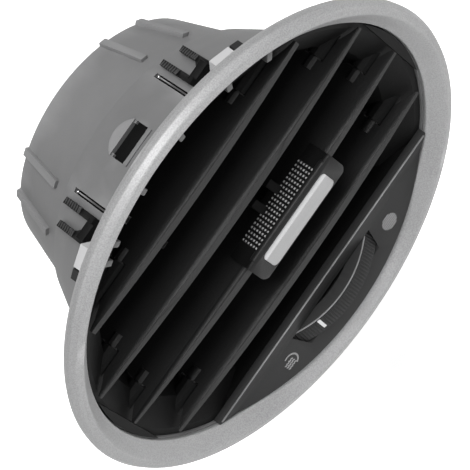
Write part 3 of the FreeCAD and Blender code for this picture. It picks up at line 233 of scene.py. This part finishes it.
def moulded(name, grey, rough, grain=0.00003, grain_size=0.35, cloud=0.06, metal=0.0, worn=1.25,
            fleck=0.0, shine=0.4):
    """Plastic of a grey, with grain height in metres and grain size in millimetres."""
    material, tree, shader = new_material(name)
    place = tree.nodes.new("ShaderNodeTexCoord").outputs["Object"]
    clouds = noise(tree, place, CLOUDS_PER_METRE, 5.0, 0.6)
    fine = noise(tree, place, 1.0 / (grain_size * MM), 2.0)

    shade = tree.nodes.new("ShaderNodeValToRGB")
    ends = shade.color_ramp.elements
    for end, position, level in zip(ends, (DARK_CLOUD, LIGHT_CLOUD),
                                    (grey * (1 - cloud), grey * (1 + cloud))):
        end.position = position
        end.color = (level, level, level * COOL_TINT, 1)
    tree.links.new(clouds, shade.inputs["Fac"])

    flecks = map_range(tree, fine, 1.0 - fleck, 1.0 + fleck, *FLECK_BAND)
    corners = tree.nodes.new("ShaderNodeNewGeometry").outputs["Pointiness"]
    rubbed = map_range(tree, corners, 1.0, worn, *EDGE_BAND)
    tint = tree.nodes.new("ShaderNodeVectorMath")
    tint.operation = "SCALE"
    tree.links.new(shade.outputs["Color"], tint.inputs[0])
    tree.links.new(reckon(tree, "MULTIPLY", flecks, rubbed), tint.inputs["Scale"])
    tree.links.new(tint.outputs["Vector"], shader.inputs["Base Color"])

    gloss = map_range(tree, clouds, rough * (1 - GLOSS_SPREAD),
                      min(1.0, rough * (1 + GLOSS_SPREAD)))
    tree.links.new(gloss, shader.inputs["Roughness"])
    bump = tree.nodes.new("ShaderNodeBump")
    bump.inputs["Strength"].default_value = 1.0
    bump.inputs["Distance"].default_value = grain
    tree.links.new(fine, bump.inputs["Height"])
    tree.links.new(bump.outputs["Normal"], shader.inputs["Normal"])
    shader.inputs["Metallic"].default_value = metal
    shader.inputs["Specular IOR Level"].default_value = shine
    return material


print("recipe with", CLOUDS_PER_METRE, "clouds per metre")

# %% [markdown]
# Each moulding gets its own grey, roughness and shine. The blacks in the grille have very
# little shine, because at a low angle they would mirror the white floor and turn grey.

# %% Materials
satin_trim = moulded("satin_trim_lacquer", 0.36, 0.42, grain=0.00001, grain_size=0.28,
                     metal=0.15, fleck=0.14, shine=0.4)
housing_grey = moulded("housing_grey", 0.2, 0.55, cloud=0.1, worn=1.4)
# A black darker than the slats': painted shade for the pieces deep inside, the knob's back and
# the window sheet.
painted_shade_black = moulded("painted_shade_black", 0.006, 0.6, cloud=0.15, shine=0.12)
slat_black = moulded("slat_black", 0.012, 0.42, grain=0.00005, grain_size=0.5, cloud=0.15,
                     worn=1.1, shine=0.2)
clip_black = moulded("clip_black", 0.02, 0.4, cloud=0.15, shine=0.5)
panel_charcoal = moulded("panel_charcoal", 0.026, 0.5, grain=0.00002, worn=1.6, shine=0.14)
grip_black = moulded("grip_black", 0.01, 0.4, grain=0.00003, shine=0.18)
# Pale grey for thin lines along edges: a painted highlight.
painted_edge_highlight = moulded("painted_edge_highlight", 0.2, 0.35, grain=0.00001, cloud=0.3)
# Paler black for the clip teeth: a painted highlight on their crests.
painted_tooth_highlight = moulded("painted_tooth_highlight", 0.05, 0.4, cloud=0.3)
# Paler, glossier grey for the strip's upper chamfer: a painted highlight.
painted_chamfer_highlight = moulded("painted_chamfer_highlight", 0.55, 0.25, grain=0.000002)
# Pale grey for the knurl tips: a painted highlight.
painted_knurl_glint = moulded("painted_knurl_glint", 0.3, 0.35, grain=0.00001)
wheel_rubber = moulded("wheel_rubber", 0.03, 0.6, grain=0.00003, shine=0.14)
silver_satin = moulded("silver_satin", 0.36, 0.3, grain=0.000004, grain_size=0.15, metal=0.25,
                       fleck=0.04)
sign_grey = moulded("sign_grey", 0.24, 0.5, grain=0.00001, fleck=0.1)
mark_white = moulded("mark_white", 0.7, 0.45, grain=0.00001)
pale_nylon = moulded("pale_nylon", 0.5, 0.5, grain=0.00002, worn=1.1)
lug_grey = moulded("lug_grey", 0.1, 0.5)
turned_steel = moulded("turned_steel", 0.5, 0.3, grain=0.000004, metal=1.0)
print("materials", len(bpy.data.materials))

# %% [markdown]
# The nodes of the construction get their finish by the start of their name. What lies inside,
# such as the vanes, the links and the shutter, is a black painted darker than the slats' black,
# as painted shade for the deep inside. We also note which body each node rides on, because a
# copy of it has to ride on the same one.

# %% Dress the construction
FINISH = {
    "trim_ring": satin_trim,
    "housing": housing_grey,
    "control_panel": panel_charcoal,
    "thumbwheel": wheel_rubber,
    "slide_knob": grip_black,
    "knob_strip": silver_satin,
    "wheel_axle": turned_steel,
    "trim_lug": pale_nylon,
    "lock_tab": clip_black,
    "clip": clip_black,
    "slat_": slat_black,
}
for name, node in nodes.items():
    # Pieces inside get the darker black: painted shade.
    finish = painted_shade_black
    for start, material in FINISH.items():
        if name.startswith(start):
            finish = material
    for index in range(len(node.data.materials)):
        node.data.materials[index] = finish
body_of_node = {name: body for body, names in frame["record"]["behaviour"]["bodies"].items()
                for name in names}

# %% [markdown]
# Nearly every new piece ends in the same way: its faces are smooth except where they meet at a
# real corner, its mesh becomes an object at the origin, and it rides on the body that carries
# it. Two helpers keep that in one place. A rounded block, which is a cube made slim and then
# bevelled, serves for all the small bars, ribs and tabs.

# %% Helpers for new pieces
def finish_piece(name, shape, material, body, slot, corner=35.0):
    """Object from a bmesh, shaded smooth up to a corner angle, riding on a body."""
    bmesh.ops.recalc_face_normals(shape, faces=shape.faces)
    for face in shape.faces:
        face.smooth = True
    for edge in shape.edges:
        edge.smooth = edge.calc_face_angle(0.0) < math.radians(corner)
    mesh = bpy.data.meshes.new(name)
    shape.to_mesh(mesh)
    shape.free()
    mesh.materials.append(material)
    piece = new_object(name, mesh)
    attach(piece, body)
    return piece


def add_block(shape, size, place, turn=Matrix(), round_by=0.1, segments=2):
    """Bevelled block of a size in millimetres, turned and set at a place in millimetres."""
    made = bmesh.ops.create_cube(shape, size=1.0)["verts"]
    bmesh.ops.scale(shape, vec=Vector(size) * MM, verts=made)
    edges = list({edge for vert in made for edge in vert.link_edges})
    rounded = bmesh.ops.bevel(shape, geom=edges, offset=round_by * MM, segments=segments,
                              profile=0.5, affect="EDGES", material=-1)["verts"]
    verts = list({vert for vert in made if vert.is_valid} | set(rounded))
    bmesh.ops.transform(shape, matrix=Matrix.Translation(Vector(place) * MM) @ turn.to_4x4(),
                        verts=verts)


def turn_about(axis, degrees):
    """Matrix that turns about an axis by an angle in degrees."""
    return Matrix.Rotation(math.radians(degrees), 4, axis)


print("helpers", finish_piece.__name__, add_block.__name__, turn_about.__name__)

# %% [markdown]
# The trim ring is the piece that hand and eye meet first: a satin lacquered bezel with a
# rounded crest and a slim rear edge. The construction gives it a profile of short straight
# lines. Here a few points of the same profile are spun round the axis, and a Bevel modifier
# rolls the corners, so that the highlight runs over the crest instead of breaking.

# %% Trim ring
RING_PROFILE = (
    (53.9, 0.0), (54.75, -1.2), (55.0, -2.6), (54.25, -4.05), (52.5, -4.5), (51.3, -3.6),
    (50.1, -2.3), (49.0, -1.5), (49.2, -0.5), (52.6, -0.5), (52.6, 0.0),
)
RING_STEPS = 180
ring_shape = bmesh.new()
points = [ring_shape.verts.new((radius * MM, depth * MM, 0)) for radius, depth in RING_PROFILE]
lines = [ring_shape.edges.new((points[i - 1], points[i])) for i in range(len(points))]
bmesh.ops.spin(ring_shape, geom=points + lines, cent=(0, 0, 0), axis=(0, 1, 0),
               angle=math.tau, steps=RING_STEPS, use_merge=True)
bmesh.ops.remove_doubles(ring_shape, verts=ring_shape.verts, dist=1e-6)
ring = finish_piece("ring_lacquer", ring_shape, satin_trim, "vent_body", "satin_trim")
roll = ring.modifiers.new("rolled_corners", "BEVEL")
roll.width = 0.35 * MM
roll.segments = 3
roll.limit_method = "ANGLE"
roll.angle_limit = math.radians(12)
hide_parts("trim_ring")
print("ring faces", len(ring.data.polygons))

# %% [markdown]
# A moulding never has a knife edge. The tool rounds it, and that round is what draws a bright
# line in the photograph. The construction's solids have sharp edges. So a piece near the eye is
# copied, merged and cleaned of the seams between its flat triangles, and then its sharp edges,
# or those that pass a test, are bevelled.

# %% Helpers for softened copies
MERGE_WITHIN = 2e-6
FLAT_WITHIN = math.radians(0.4)


def merged_copy(name):
    """Bmesh copy of a node with its doubles merged and its flat triangles joined."""
    shape = bmesh.new()
    shape.from_mesh(nodes[name].data)
    bmesh.ops.remove_doubles(shape, verts=shape.verts, dist=MERGE_WITHIN)
    bmesh.ops.dissolve_limit(shape, angle_limit=FLAT_WITHIN, verts=shape.verts,
                             edges=shape.edges)
    return shape


def soften(name, round_by, segments, slot, where=None, corner=40.0):
    """Copy of a node whose sharp edges, or those that pass a test, are rounded."""
    shape = merged_copy(name)
    sharp = [edge for edge in shape.edges
             if edge.is_manifold and edge.is_convex
             and edge.calc_face_angle(0.0) > math.radians(corner)
             and (where is None or where(edge))]
    bmesh.ops.bevel(shape, geom=sharp, offset=round_by * MM, segments=segments, profile=0.5,
                    affect="EDGES", material=-1, clamp_overlap=True)
    finish = nodes[name].data.materials[0]
    piece = finish_piece(name + "_soft", shape, finish, body_of_node[name],
                         slot, corner=30.0)
    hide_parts(name)
    print(name, "rounded edges", len(sharp), "faces", len(piece.data.polygons))
    return piece


def second_finish(piece, material, chosen):
    """Gives the faces that pass a test a second material."""
    piece.data.materials.append(material)
    for polygon in piece.data.polygons:
        if chosen(polygon):
            polygon.material_index = 1


print("doubles merge within", MERGE_WITHIN)

# %% [markdown]
# The slats get a generous nose along their upper front edge and stay sharp elsewhere. To find
# that edge, we need the height of each slat's top, because the slat's box also holds the
# barrels of its hinges. The nose is the soft line of light in each black blade.

# %% Slats
SLAT_TOPS = (32.6, 15.6, -1.4, -18.4)
NOSE_ROUND, NOSE_SEGMENTS = 2.1, 8
FRONT_REACH = 2.6
TOP_BAND = 0.3


def along_front(edge, front, low, high):
    """True for an edge that runs across the vent close to the front, between two heights."""
    ends = [vert.co for vert in edge.verts]
    middle = (ends[0] + ends[1]) / 2
    return (middle.y < front + FRONT_REACH * MM and low < middle.z < high
            and abs(ends[0].x - ends[1].x) > abs(ends[0].y - ends[1].y))


for index, top in enumerate(SLAT_TOPS, start=1):
    name = "slat_%d" % index
    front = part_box(name)[0].y
    low, high = (top - TOP_BAND) * MM, (top + TOP_BAND) * MM
    soften(name, NOSE_ROUND, NOSE_SEGMENTS, "black_plastic",
           where=lambda edge: along_front(edge, front, low, high))

# %% [markdown]
# The knob, its silver strip, the clips and the panel get small rounds on all their sharp edges.
# The knob is duller behind its ridge and painted a darker black there as painted shade, and the
# strip's upper chamfer is glossier and painted paler as a painted highlight, so some of their
# faces have a second finish. A slim pale bar along the panel's top edge is a painted highlight
# for the fine line that light draws there.

# %% Knob, strip, clips and panel
KNOB_SHADED_BACK = 0.2 * MM
HIGHLIGHT_FACES_UP = 0.3
PANEL_HIGHLIGHT_BAR = (74.0, 0.34, 0.34)
PANEL_HIGHLIGHT_BAR_PLACE = (0, -1.93, -30.9)

knob = soften("slide_knob", 0.6, 4, "soft_black")
# Faces behind the ridge: duller, and a darker black as painted shade.
second_finish(knob, painted_shade_black, lambda polygon: polygon.center.y > KNOB_SHADED_BACK)
for side in ("left", "right"):
    soften("retaining_clip_" + side, 0.12, 2, "black_plastic")
insert = soften("knob_strip", 0.12, 2, "silver_strip")
# The strip's upward faces get the paler grey: a painted highlight.
second_finish(insert, painted_chamfer_highlight, lambda polygon: polygon.normal.z > HIGHLIGHT_FACES_UP)
soften("control_panel", 0.25, 3, "charcoal_plastic")
# A pale bar along the panel's top edge: a painted highlight line.
panel_highlight_bar = bmesh.new()
add_block(panel_highlight_bar, PANEL_HIGHLIGHT_BAR, PANEL_HIGHLIGHT_BAR_PLACE, round_by=0.12)
finish_piece("panel_edge_painted_highlight", panel_highlight_bar, painted_edge_highlight, "vent_body", "charcoal_plastic")
print("panel bar", PANEL_HIGHLIGHT_BAR)

# %% [markdown]
# The knob's thumb rest is knurled: a field of small blunt pyramids, six rows of twenty, which
# the mould cuts in one pass. Their flat tips are painted pale grey, a painted highlight against
# the matt black. A cone with four sides and a flat tip is the whole shape, repeated in two loops.

# %% Knurled thumb rest
PITCH = 1.035
ROW_SQUEEZE = 0.93
COLUMNS, ROWS = 20, 6
KNOB_CENTRE = 7.0
REST_RUN, REST_DROP = 5.7, 1.75
rest_front = Vector((KNOB_CENTRE, -3.2, 1.15))
rest_slope = Vector((0, REST_RUN, -REST_DROP)).normalized()
lean = Matrix.Rotation(-math.atan2(REST_DROP, REST_RUN), 4, "X")


def add_cone(shape, sides, foot, tip, tall, base, lift):
    """Blunt cone of radii and height in millimetres, lifted along the base's own normal."""
    bmesh.ops.create_cone(shape, cap_ends=True, segments=sides, radius1=foot * MM,
                          radius2=tip * MM, depth=tall * MM,
                          matrix=base @ Matrix.Translation((0, 0, lift * MM)))


knurl = bmesh.new()
tips = bmesh.new()
for column in range(COLUMNS):
    for row in range(ROWS):
        spot = rest_front + rest_slope * (row * PITCH * ROW_SQUEEZE)
        spot.x += (column - (COLUMNS - 1) / 2) * PITCH
        set_down = Matrix.Translation(spot * MM) @ lean @ Matrix.Rotation(math.pi / 4, 4, "Z")
        add_cone(knurl, 4, 0.62, 0.3, 0.3, set_down, 0.1)
        add_cone(tips, 8, 0.27, 0.17, 0.08, set_down, 0.29)
finish_piece("knob_knurl", knurl, grip_black, "knob", "black_plastic", corner=20.0)
# The tips are pale grey: painted highlights on the knurl.
finish_piece("knob_knurl_painted_glints", tips, painted_knurl_glint, "knob", "black_plastic", corner=20.0)
print("knurl points", COLUMNS * ROWS)

# %% [markdown]
# A rounded ridge runs along the front of the thumb rest, where the knob turns down to its face.
# The silver insert below it has a chamfer along its top, glossier and painted paler as a painted
# highlight, and a satin face. A black line of painted shade parts the two: a slim bar on the
# chamfer, just above the crease, a few hundredths proud, in place of the crease's shade.

# %% Ridge of the knob and painted shade line on the insert
RIDGE = (25.6, 1.7, 1.5)
RIDGE_DEPTH, RIDGE_HEIGHT = -4.0, 0.95
PAINTED_SHADE_LINE = (20.4, 0.14, 0.4)
LINE_DEPTH, LINE_HEIGHT = -5.031, -1.016
CHAMFER_RUN, CHAMFER_RISE = 0.9, 1.5

ridge = bmesh.new()
add_block(ridge, RIDGE, (KNOB_CENTRE, RIDGE_DEPTH, RIDGE_HEIGHT), round_by=0.7, segments=5)
finish_piece("knob_ridge", ridge, grip_black, "knob", "soft_black", corner=60.0)
# A black bar on the chamfer: painted shade for the crease.
line = bmesh.new()
add_block(line, PAINTED_SHADE_LINE, (KNOB_CENTRE, LINE_DEPTH, LINE_HEIGHT),
          Matrix.Rotation(-math.atan2(CHAMFER_RUN, CHAMFER_RISE), 4, "X"), round_by=0.04)
finish_piece("strip_painted_shade_line", line, grip_black, "knob", "black_plastic")

# %% [markdown]
# The thumbwheel is ribbed so that a fingertip can turn it. The rim is a cone, so each rib is a
# slim bevelled bar that leans with it, turned about the wheel's axle step by step. One rib is
# left out for the white mark that shows the setting. A thin bead, a small circle swept about
# the axle, runs round the rim's upper edge, pale grey as a painted highlight.

# %% Thumbwheel ribs and mark
AXLE_DEPTH = 19.4
WHEEL_AXLE = Vector((0, AXLE_DEPTH, 0))
WHEEL_TOP_Z, WHEEL_TALL = -36.6, 5.4
RIM_TOP, RIM_BOTTOM = 23.6, 24.4
AT_REST = -19.0
RIB, RIB_STEP, RIBS_EACH_WAY = (0.42, 0.3, 4.3), 1.75, 33
MARK, ROOM_FOR_MARK = (0.78, 0.3, 3.3), 1.2
BEAD_RADIUS, BEAD_SWEEP = 0.17, 116
rim_lean = math.atan2(RIM_BOTTOM - RIM_TOP, WHEEL_TALL)


def on_rim(angle, proud, height):
    """Place on the rim at an angle in degrees, and the turn and lean that it has there."""
    turn = turn_about("Z", angle)
    radius = RIM_TOP + (RIM_BOTTOM - RIM_TOP) * (WHEEL_TOP_Z - height) / WHEEL_TALL + proud
    place = WHEEL_AXLE + turn @ Vector((0, -radius, height))
    return place, turn @ Matrix.Rotation(-rim_lean, 4, "X")


ribs = bmesh.new()
rib_count = 0
for count in range(-RIBS_EACH_WAY, RIBS_EACH_WAY + 1):
    angle = AT_REST + count * RIB_STEP
    if abs(angle - AT_REST) < ROOM_FOR_MARK:
        continue
    place, turn = on_rim(angle, 0.02, WHEEL_TOP_Z - 2.95)
    add_block(ribs, RIB, place, turn, round_by=0.09, segments=1)
    rib_count += 1
finish_piece("wheel_ribs", ribs, wheel_rubber, "thumbwheel", "black_plastic", corner=50.0)

bead = bmesh.new()
bead_place = Vector((0, AXLE_DEPTH - RIM_TOP - 0.3, WHEEL_TOP_Z - 0.12))
bmesh.ops.create_circle(bead, cap_ends=True, segments=8, radius=BEAD_RADIUS * MM,
                        matrix=Matrix.Translation(bead_place * MM)
                        @ Matrix.Rotation(math.pi / 2, 4, "Y"))
bmesh.ops.rotate(bead, verts=bead.verts, cent=WHEEL_AXLE * MM,
                 matrix=Matrix.Rotation(math.radians(AT_REST - BEAD_SWEEP / 2), 3, "Z"))
bmesh.ops.spin(bead, geom=bead.verts[:] + bead.edges[:] + bead.faces[:], cent=WHEEL_AXLE * MM,
               axis=(0, 0, 1), angle=math.radians(BEAD_SWEEP), steps=60, use_merge=False)
# The bead is pale grey: a painted highlight along the rim's upper edge.
finish_piece("wheel_bead_painted_highlight", bead, painted_edge_highlight, "thumbwheel", "black_plastic", corner=60.0)

mark = bmesh.new()
place, turn = on_rim(AT_REST, 0.06, WHEEL_TOP_Z - 2.6)
add_block(mark, MARK, place, turn, round_by=0.08)
finish_piece("wheel_mark", mark, mark_white, "thumbwheel", "black_plastic")
print("ribs", rib_count)

# %% [markdown]
# Two signs tell which way to turn: a vent with air coming out, and a closed one. They are drawn
# for this vent: a broken ring with three waves, and a disc filled by seven close strokes. Each
# line is a curve with a round section, made a mesh before it is laid on the leaning panel.

# %% Helpers for the signs
PANEL_LEAN = math.radians(9.0)
PANEL_FACE_DEPTH, PANEL_FACE_HEIGHT = -1.15, -35.3
SIGN_HEIGHT = -40.3
STROKE_FLATNESS = 0.35


def sign_place(x):
    """Matrix that lays a flat drawing in XY on the panel's leaning face."""
    depth = PANEL_FACE_DEPTH - (PANEL_FACE_HEIGHT - SIGN_HEIGHT) * math.tan(PANEL_LEAN)
    stand = Matrix.Rotation(math.radians(90) - PANEL_LEAN, 4, "X")
    return Matrix.Translation(Vector((x, depth - 0.01, SIGN_HEIGHT)) * MM) @ stand


def stroke(shape, points, thick, place):
    """Adds a smooth round line through flat points in millimetres."""
    curve = bpy.data.curves.new("stroke", "CURVE")
    curve.dimensions = "3D"
    curve.bevel_depth = thick / 2 * MM
    curve.bevel_resolution = 1
    curve.use_fill_caps = True
    spline = curve.splines.new("NURBS")
    spline.points.add(len(points) - 1)
    for point, spot in zip(spline.points, points):
        point.co = (spot[0] * MM, spot[1] * MM, 0, 1)
    spline.order_u = 3
    spline.use_endpoint_u = True
    holder = bpy.data.objects.new("stroke", curve)
    drawn = bpy.data.meshes.new_from_object(holder)
    drawn.transform(Matrix.Diagonal((1, 1, STROKE_FLATNESS, 1)))
    drawn.transform(place)
    shape.from_mesh(drawn)
    bpy.data.meshes.remove(drawn)
    bpy.data.objects.remove(holder)
    bpy.data.curves.remove(curve)


print("signs at height", SIGN_HEIGHT)

# %% [markdown]
# The open sign is an arc that leaves a gap on its left, with the three waves in its mouth. The
# closed sign is a stack of level strokes, each as long as the disc is wide at its height.

# %% Signs on the panel
SIGN_X = 18.2
ARC_RADIUS, ARC_DEGREES = 1.9, range(-70, 111, 15)
WAVE_ROWS = (-0.9, -0.1, 0.7)
DISC_RADIUS, DISC_PITCH = 2.05, 0.58

open_sign = bmesh.new()
left_place = sign_place(-SIGN_X)
arc = [(ARC_RADIUS * math.cos(math.radians(a)), ARC_RADIUS * math.sin(math.radians(a)))
       for a in ARC_DEGREES]
stroke(open_sign, arc, 0.42, left_place)
for row in WAVE_ROWS:
    wave = [(-1.7 + 0.35 * step, row - 0.25 + 0.3 * (-1) ** step) for step in range(8)]
    stroke(open_sign, wave, 0.34, left_place)
finish_piece("sign_open", open_sign, sign_grey, "vent_body", "black_plastic", corner=60.0)

closed_sign = bmesh.new()
right_place = sign_place(SIGN_X)
for row in range(-3, 4):
    rise = row * DISC_PITCH
    half = math.sqrt(DISC_RADIUS ** 2 - rise ** 2)
    stroke(closed_sign, [(-half, rise), (0, rise), (half, rise)], 0.44, right_place)
finish_piece("sign_closed", closed_sign, sign_grey, "vent_body", "black_plastic", corner=60.0)
print("strokes", 1 + len(WAVE_ROWS), "and", 7)

# %% [markdown]
# Under each long slot on top of the housing lies a bright spring bar with a small round head.
# It holds the vent down in the dash. The window between them is closed by a black sheet a
# millimetre below the wall: painted shade for the dark inside the duct, which also keeps lamp
# light out of it. Both follow the wall, whose height we find with a ray dropped from above.

# %% Springs in the slots and painted shade sheet in the window
DROP_FROM = 80
SLOT_X, BESIDE_SLOT_X = 14.0, 12.8
SPRING_FROM, SPRING_TO, SPRING_SUNK = 7.0, 19.4, 0.8
WINDOW_FROM, WINDOW_TO, BESIDE_WINDOW_X = 9.0, 14.9, 5.6
SHADE_SHEET_SUNK = 1.0


def drop_ray(target, x, depth):
    """Height in millimetres at which a ray from above meets an object, or None."""
    hit, spot, _, _ = target.ray_cast(Vector((x, depth, DROP_FROM)) * MM, Vector((0, 0, -1)))
    return spot.z / MM if hit else None


for side, word in ((-1, "left"), (1, "right")):
    front_height = drop_ray(nodes["housing"], side * BESIDE_SLOT_X, SPRING_FROM) - SPRING_SUNK
    rear_height = drop_ray(nodes["housing"], side * BESIDE_SLOT_X, SPRING_TO) - SPRING_SUNK
    length = SPRING_TO - SPRING_FROM
    slope = Matrix.Rotation(math.atan2(rear_height - front_height, length), 4, "X")
    middle = ((SPRING_FROM + SPRING_TO) / 2, (front_height + rear_height) / 2)
    spring = bmesh.new()
    add_block(spring, (0.34, length, 0.6), (side * SLOT_X, middle[0], middle[1]),
              slope, round_by=0.12)
    head = Vector((side * SLOT_X, SPRING_TO, rear_height + 0.1))
    bmesh.ops.create_icosphere(spring, subdivisions=2, radius=0.42 * MM,
                               matrix=Matrix.Translation(head * MM))
    finish_piece("slot_spring_" + word, spring, turned_steel, "vent_body", "steel_pin")

shade_sheet_front = drop_ray(nodes["housing"], BESIDE_WINDOW_X, WINDOW_FROM)
shade_sheet_rear = drop_ray(nodes["housing"], BESIDE_WINDOW_X, WINDOW_TO)
# A black sheet under the window: painted shade for the dark inside the duct.
shade_sheet = bmesh.new()
add_block(shade_sheet, (9.2, 6.3, 0.6),
          (0, (WINDOW_FROM + WINDOW_TO) / 2, (shade_sheet_front + shade_sheet_rear) / 2 - SHADE_SHEET_SUNK),
          Matrix.Rotation(math.atan2(shade_sheet_rear - shade_sheet_front, WINDOW_TO - WINDOW_FROM), 4, "X"))
finish_piece("window_painted_shade_sheet", shade_sheet, painted_shade_black, "vent_body", "black_plastic")
print("wall height beside the window", round(shade_sheet_front, 2), round(shade_sheet_rear, 2))

# %% [markdown]
# Behind the bezel sit small moulded blocks that key it to the housing. Next to each pale lug
# lies a mid-grey one, and a few little hooks of the bezel show inside its upper edge. They are
# bevelled blocks turned about the ring's axis to their own angles.

# %% Keys and hooks behind the bezel
KEY, KEY_X, KEY_DEPTH, KEY_TURN = (3.2, 2.6, 1.8), 20.4, 1.9, 25
HOOK, HOOK_RADIUS, HOOK_DEPTH = (1.5, 1.8, 2.8), 48.0, -0.9
HOOK_X = (-22.0, -18.0, -6.5, 6.5, 20.0, 29.5)

for side, word in ((-1, "left"), (1, "right")):
    height = drop_ray(nodes["housing"], side * KEY_X, 3.0)
    print("flare under the key", round(height, 2))
    key = bmesh.new()
    add_block(key, KEY, (side * KEY_X, KEY_DEPTH, height + 0.3),
              turn_about("Y", side * KEY_TURN), round_by=0.25)
    finish_piece("bezel_key_" + word, key, lug_grey, "vent_body", "grey_plastic")
hooks = bmesh.new()
for x in HOOK_X:
    turn = turn_about("Y", math.degrees(math.asin(x / HOOK_RADIUS)))
    add_block(hooks, HOOK, turn @ Vector((0, HOOK_DEPTH, HOOK_RADIUS)), turn, round_by=0.25)
finish_piece("bezel_hooks", hooks, lug_grey, "vent_body", "grey_plastic")
print("hooks", len(HOOK_X))

# %% [markdown]
# The legs of the retaining clips carry a rack of small teeth that bite into the dash. They are
# painted a paler black than the clip, a painted highlight for the light their crests catch. Each
# tooth is a bevelled bar laid across its leg, at the height where a ray dropped from above meets
# the clip.

# %% Teeth of the clips
TOOTH, TOOTH_TURN = (1.5, 0.36, 0.5), 22
TOOTH_PITCH, TEETH, FIRST_TOOTH_IN = 0.95, 8, 0.6
LEG_X = (16.8, 21.4)

bpy.context.view_layer.update()
for side, word in ((-1, "left"), (1, "right")):
    clip = bpy.data.objects["retaining_clip_" + word + "_soft"]
    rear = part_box("retaining_clip_" + word)[1].y / MM
    rack = bmesh.new()
    count = 0
    for x in LEG_X:
        for tooth in range(TEETH):
            depth = rear - FIRST_TOOTH_IN - tooth * TOOTH_PITCH
            height = drop_ray(clip, side * x, depth)
            if height is not None:
                add_block(rack, TOOTH, (side * x, depth, height + 0.1),
                          turn_about("Y", side * TOOTH_TURN), round_by=0.1)
                count += 1
    # The teeth are a paler black than the clip: a painted highlight.
    finish_piece("clip_teeth_" + word, rack, painted_tooth_highlight, "vent_body", "black_plastic")
    print(word, "teeth", count)
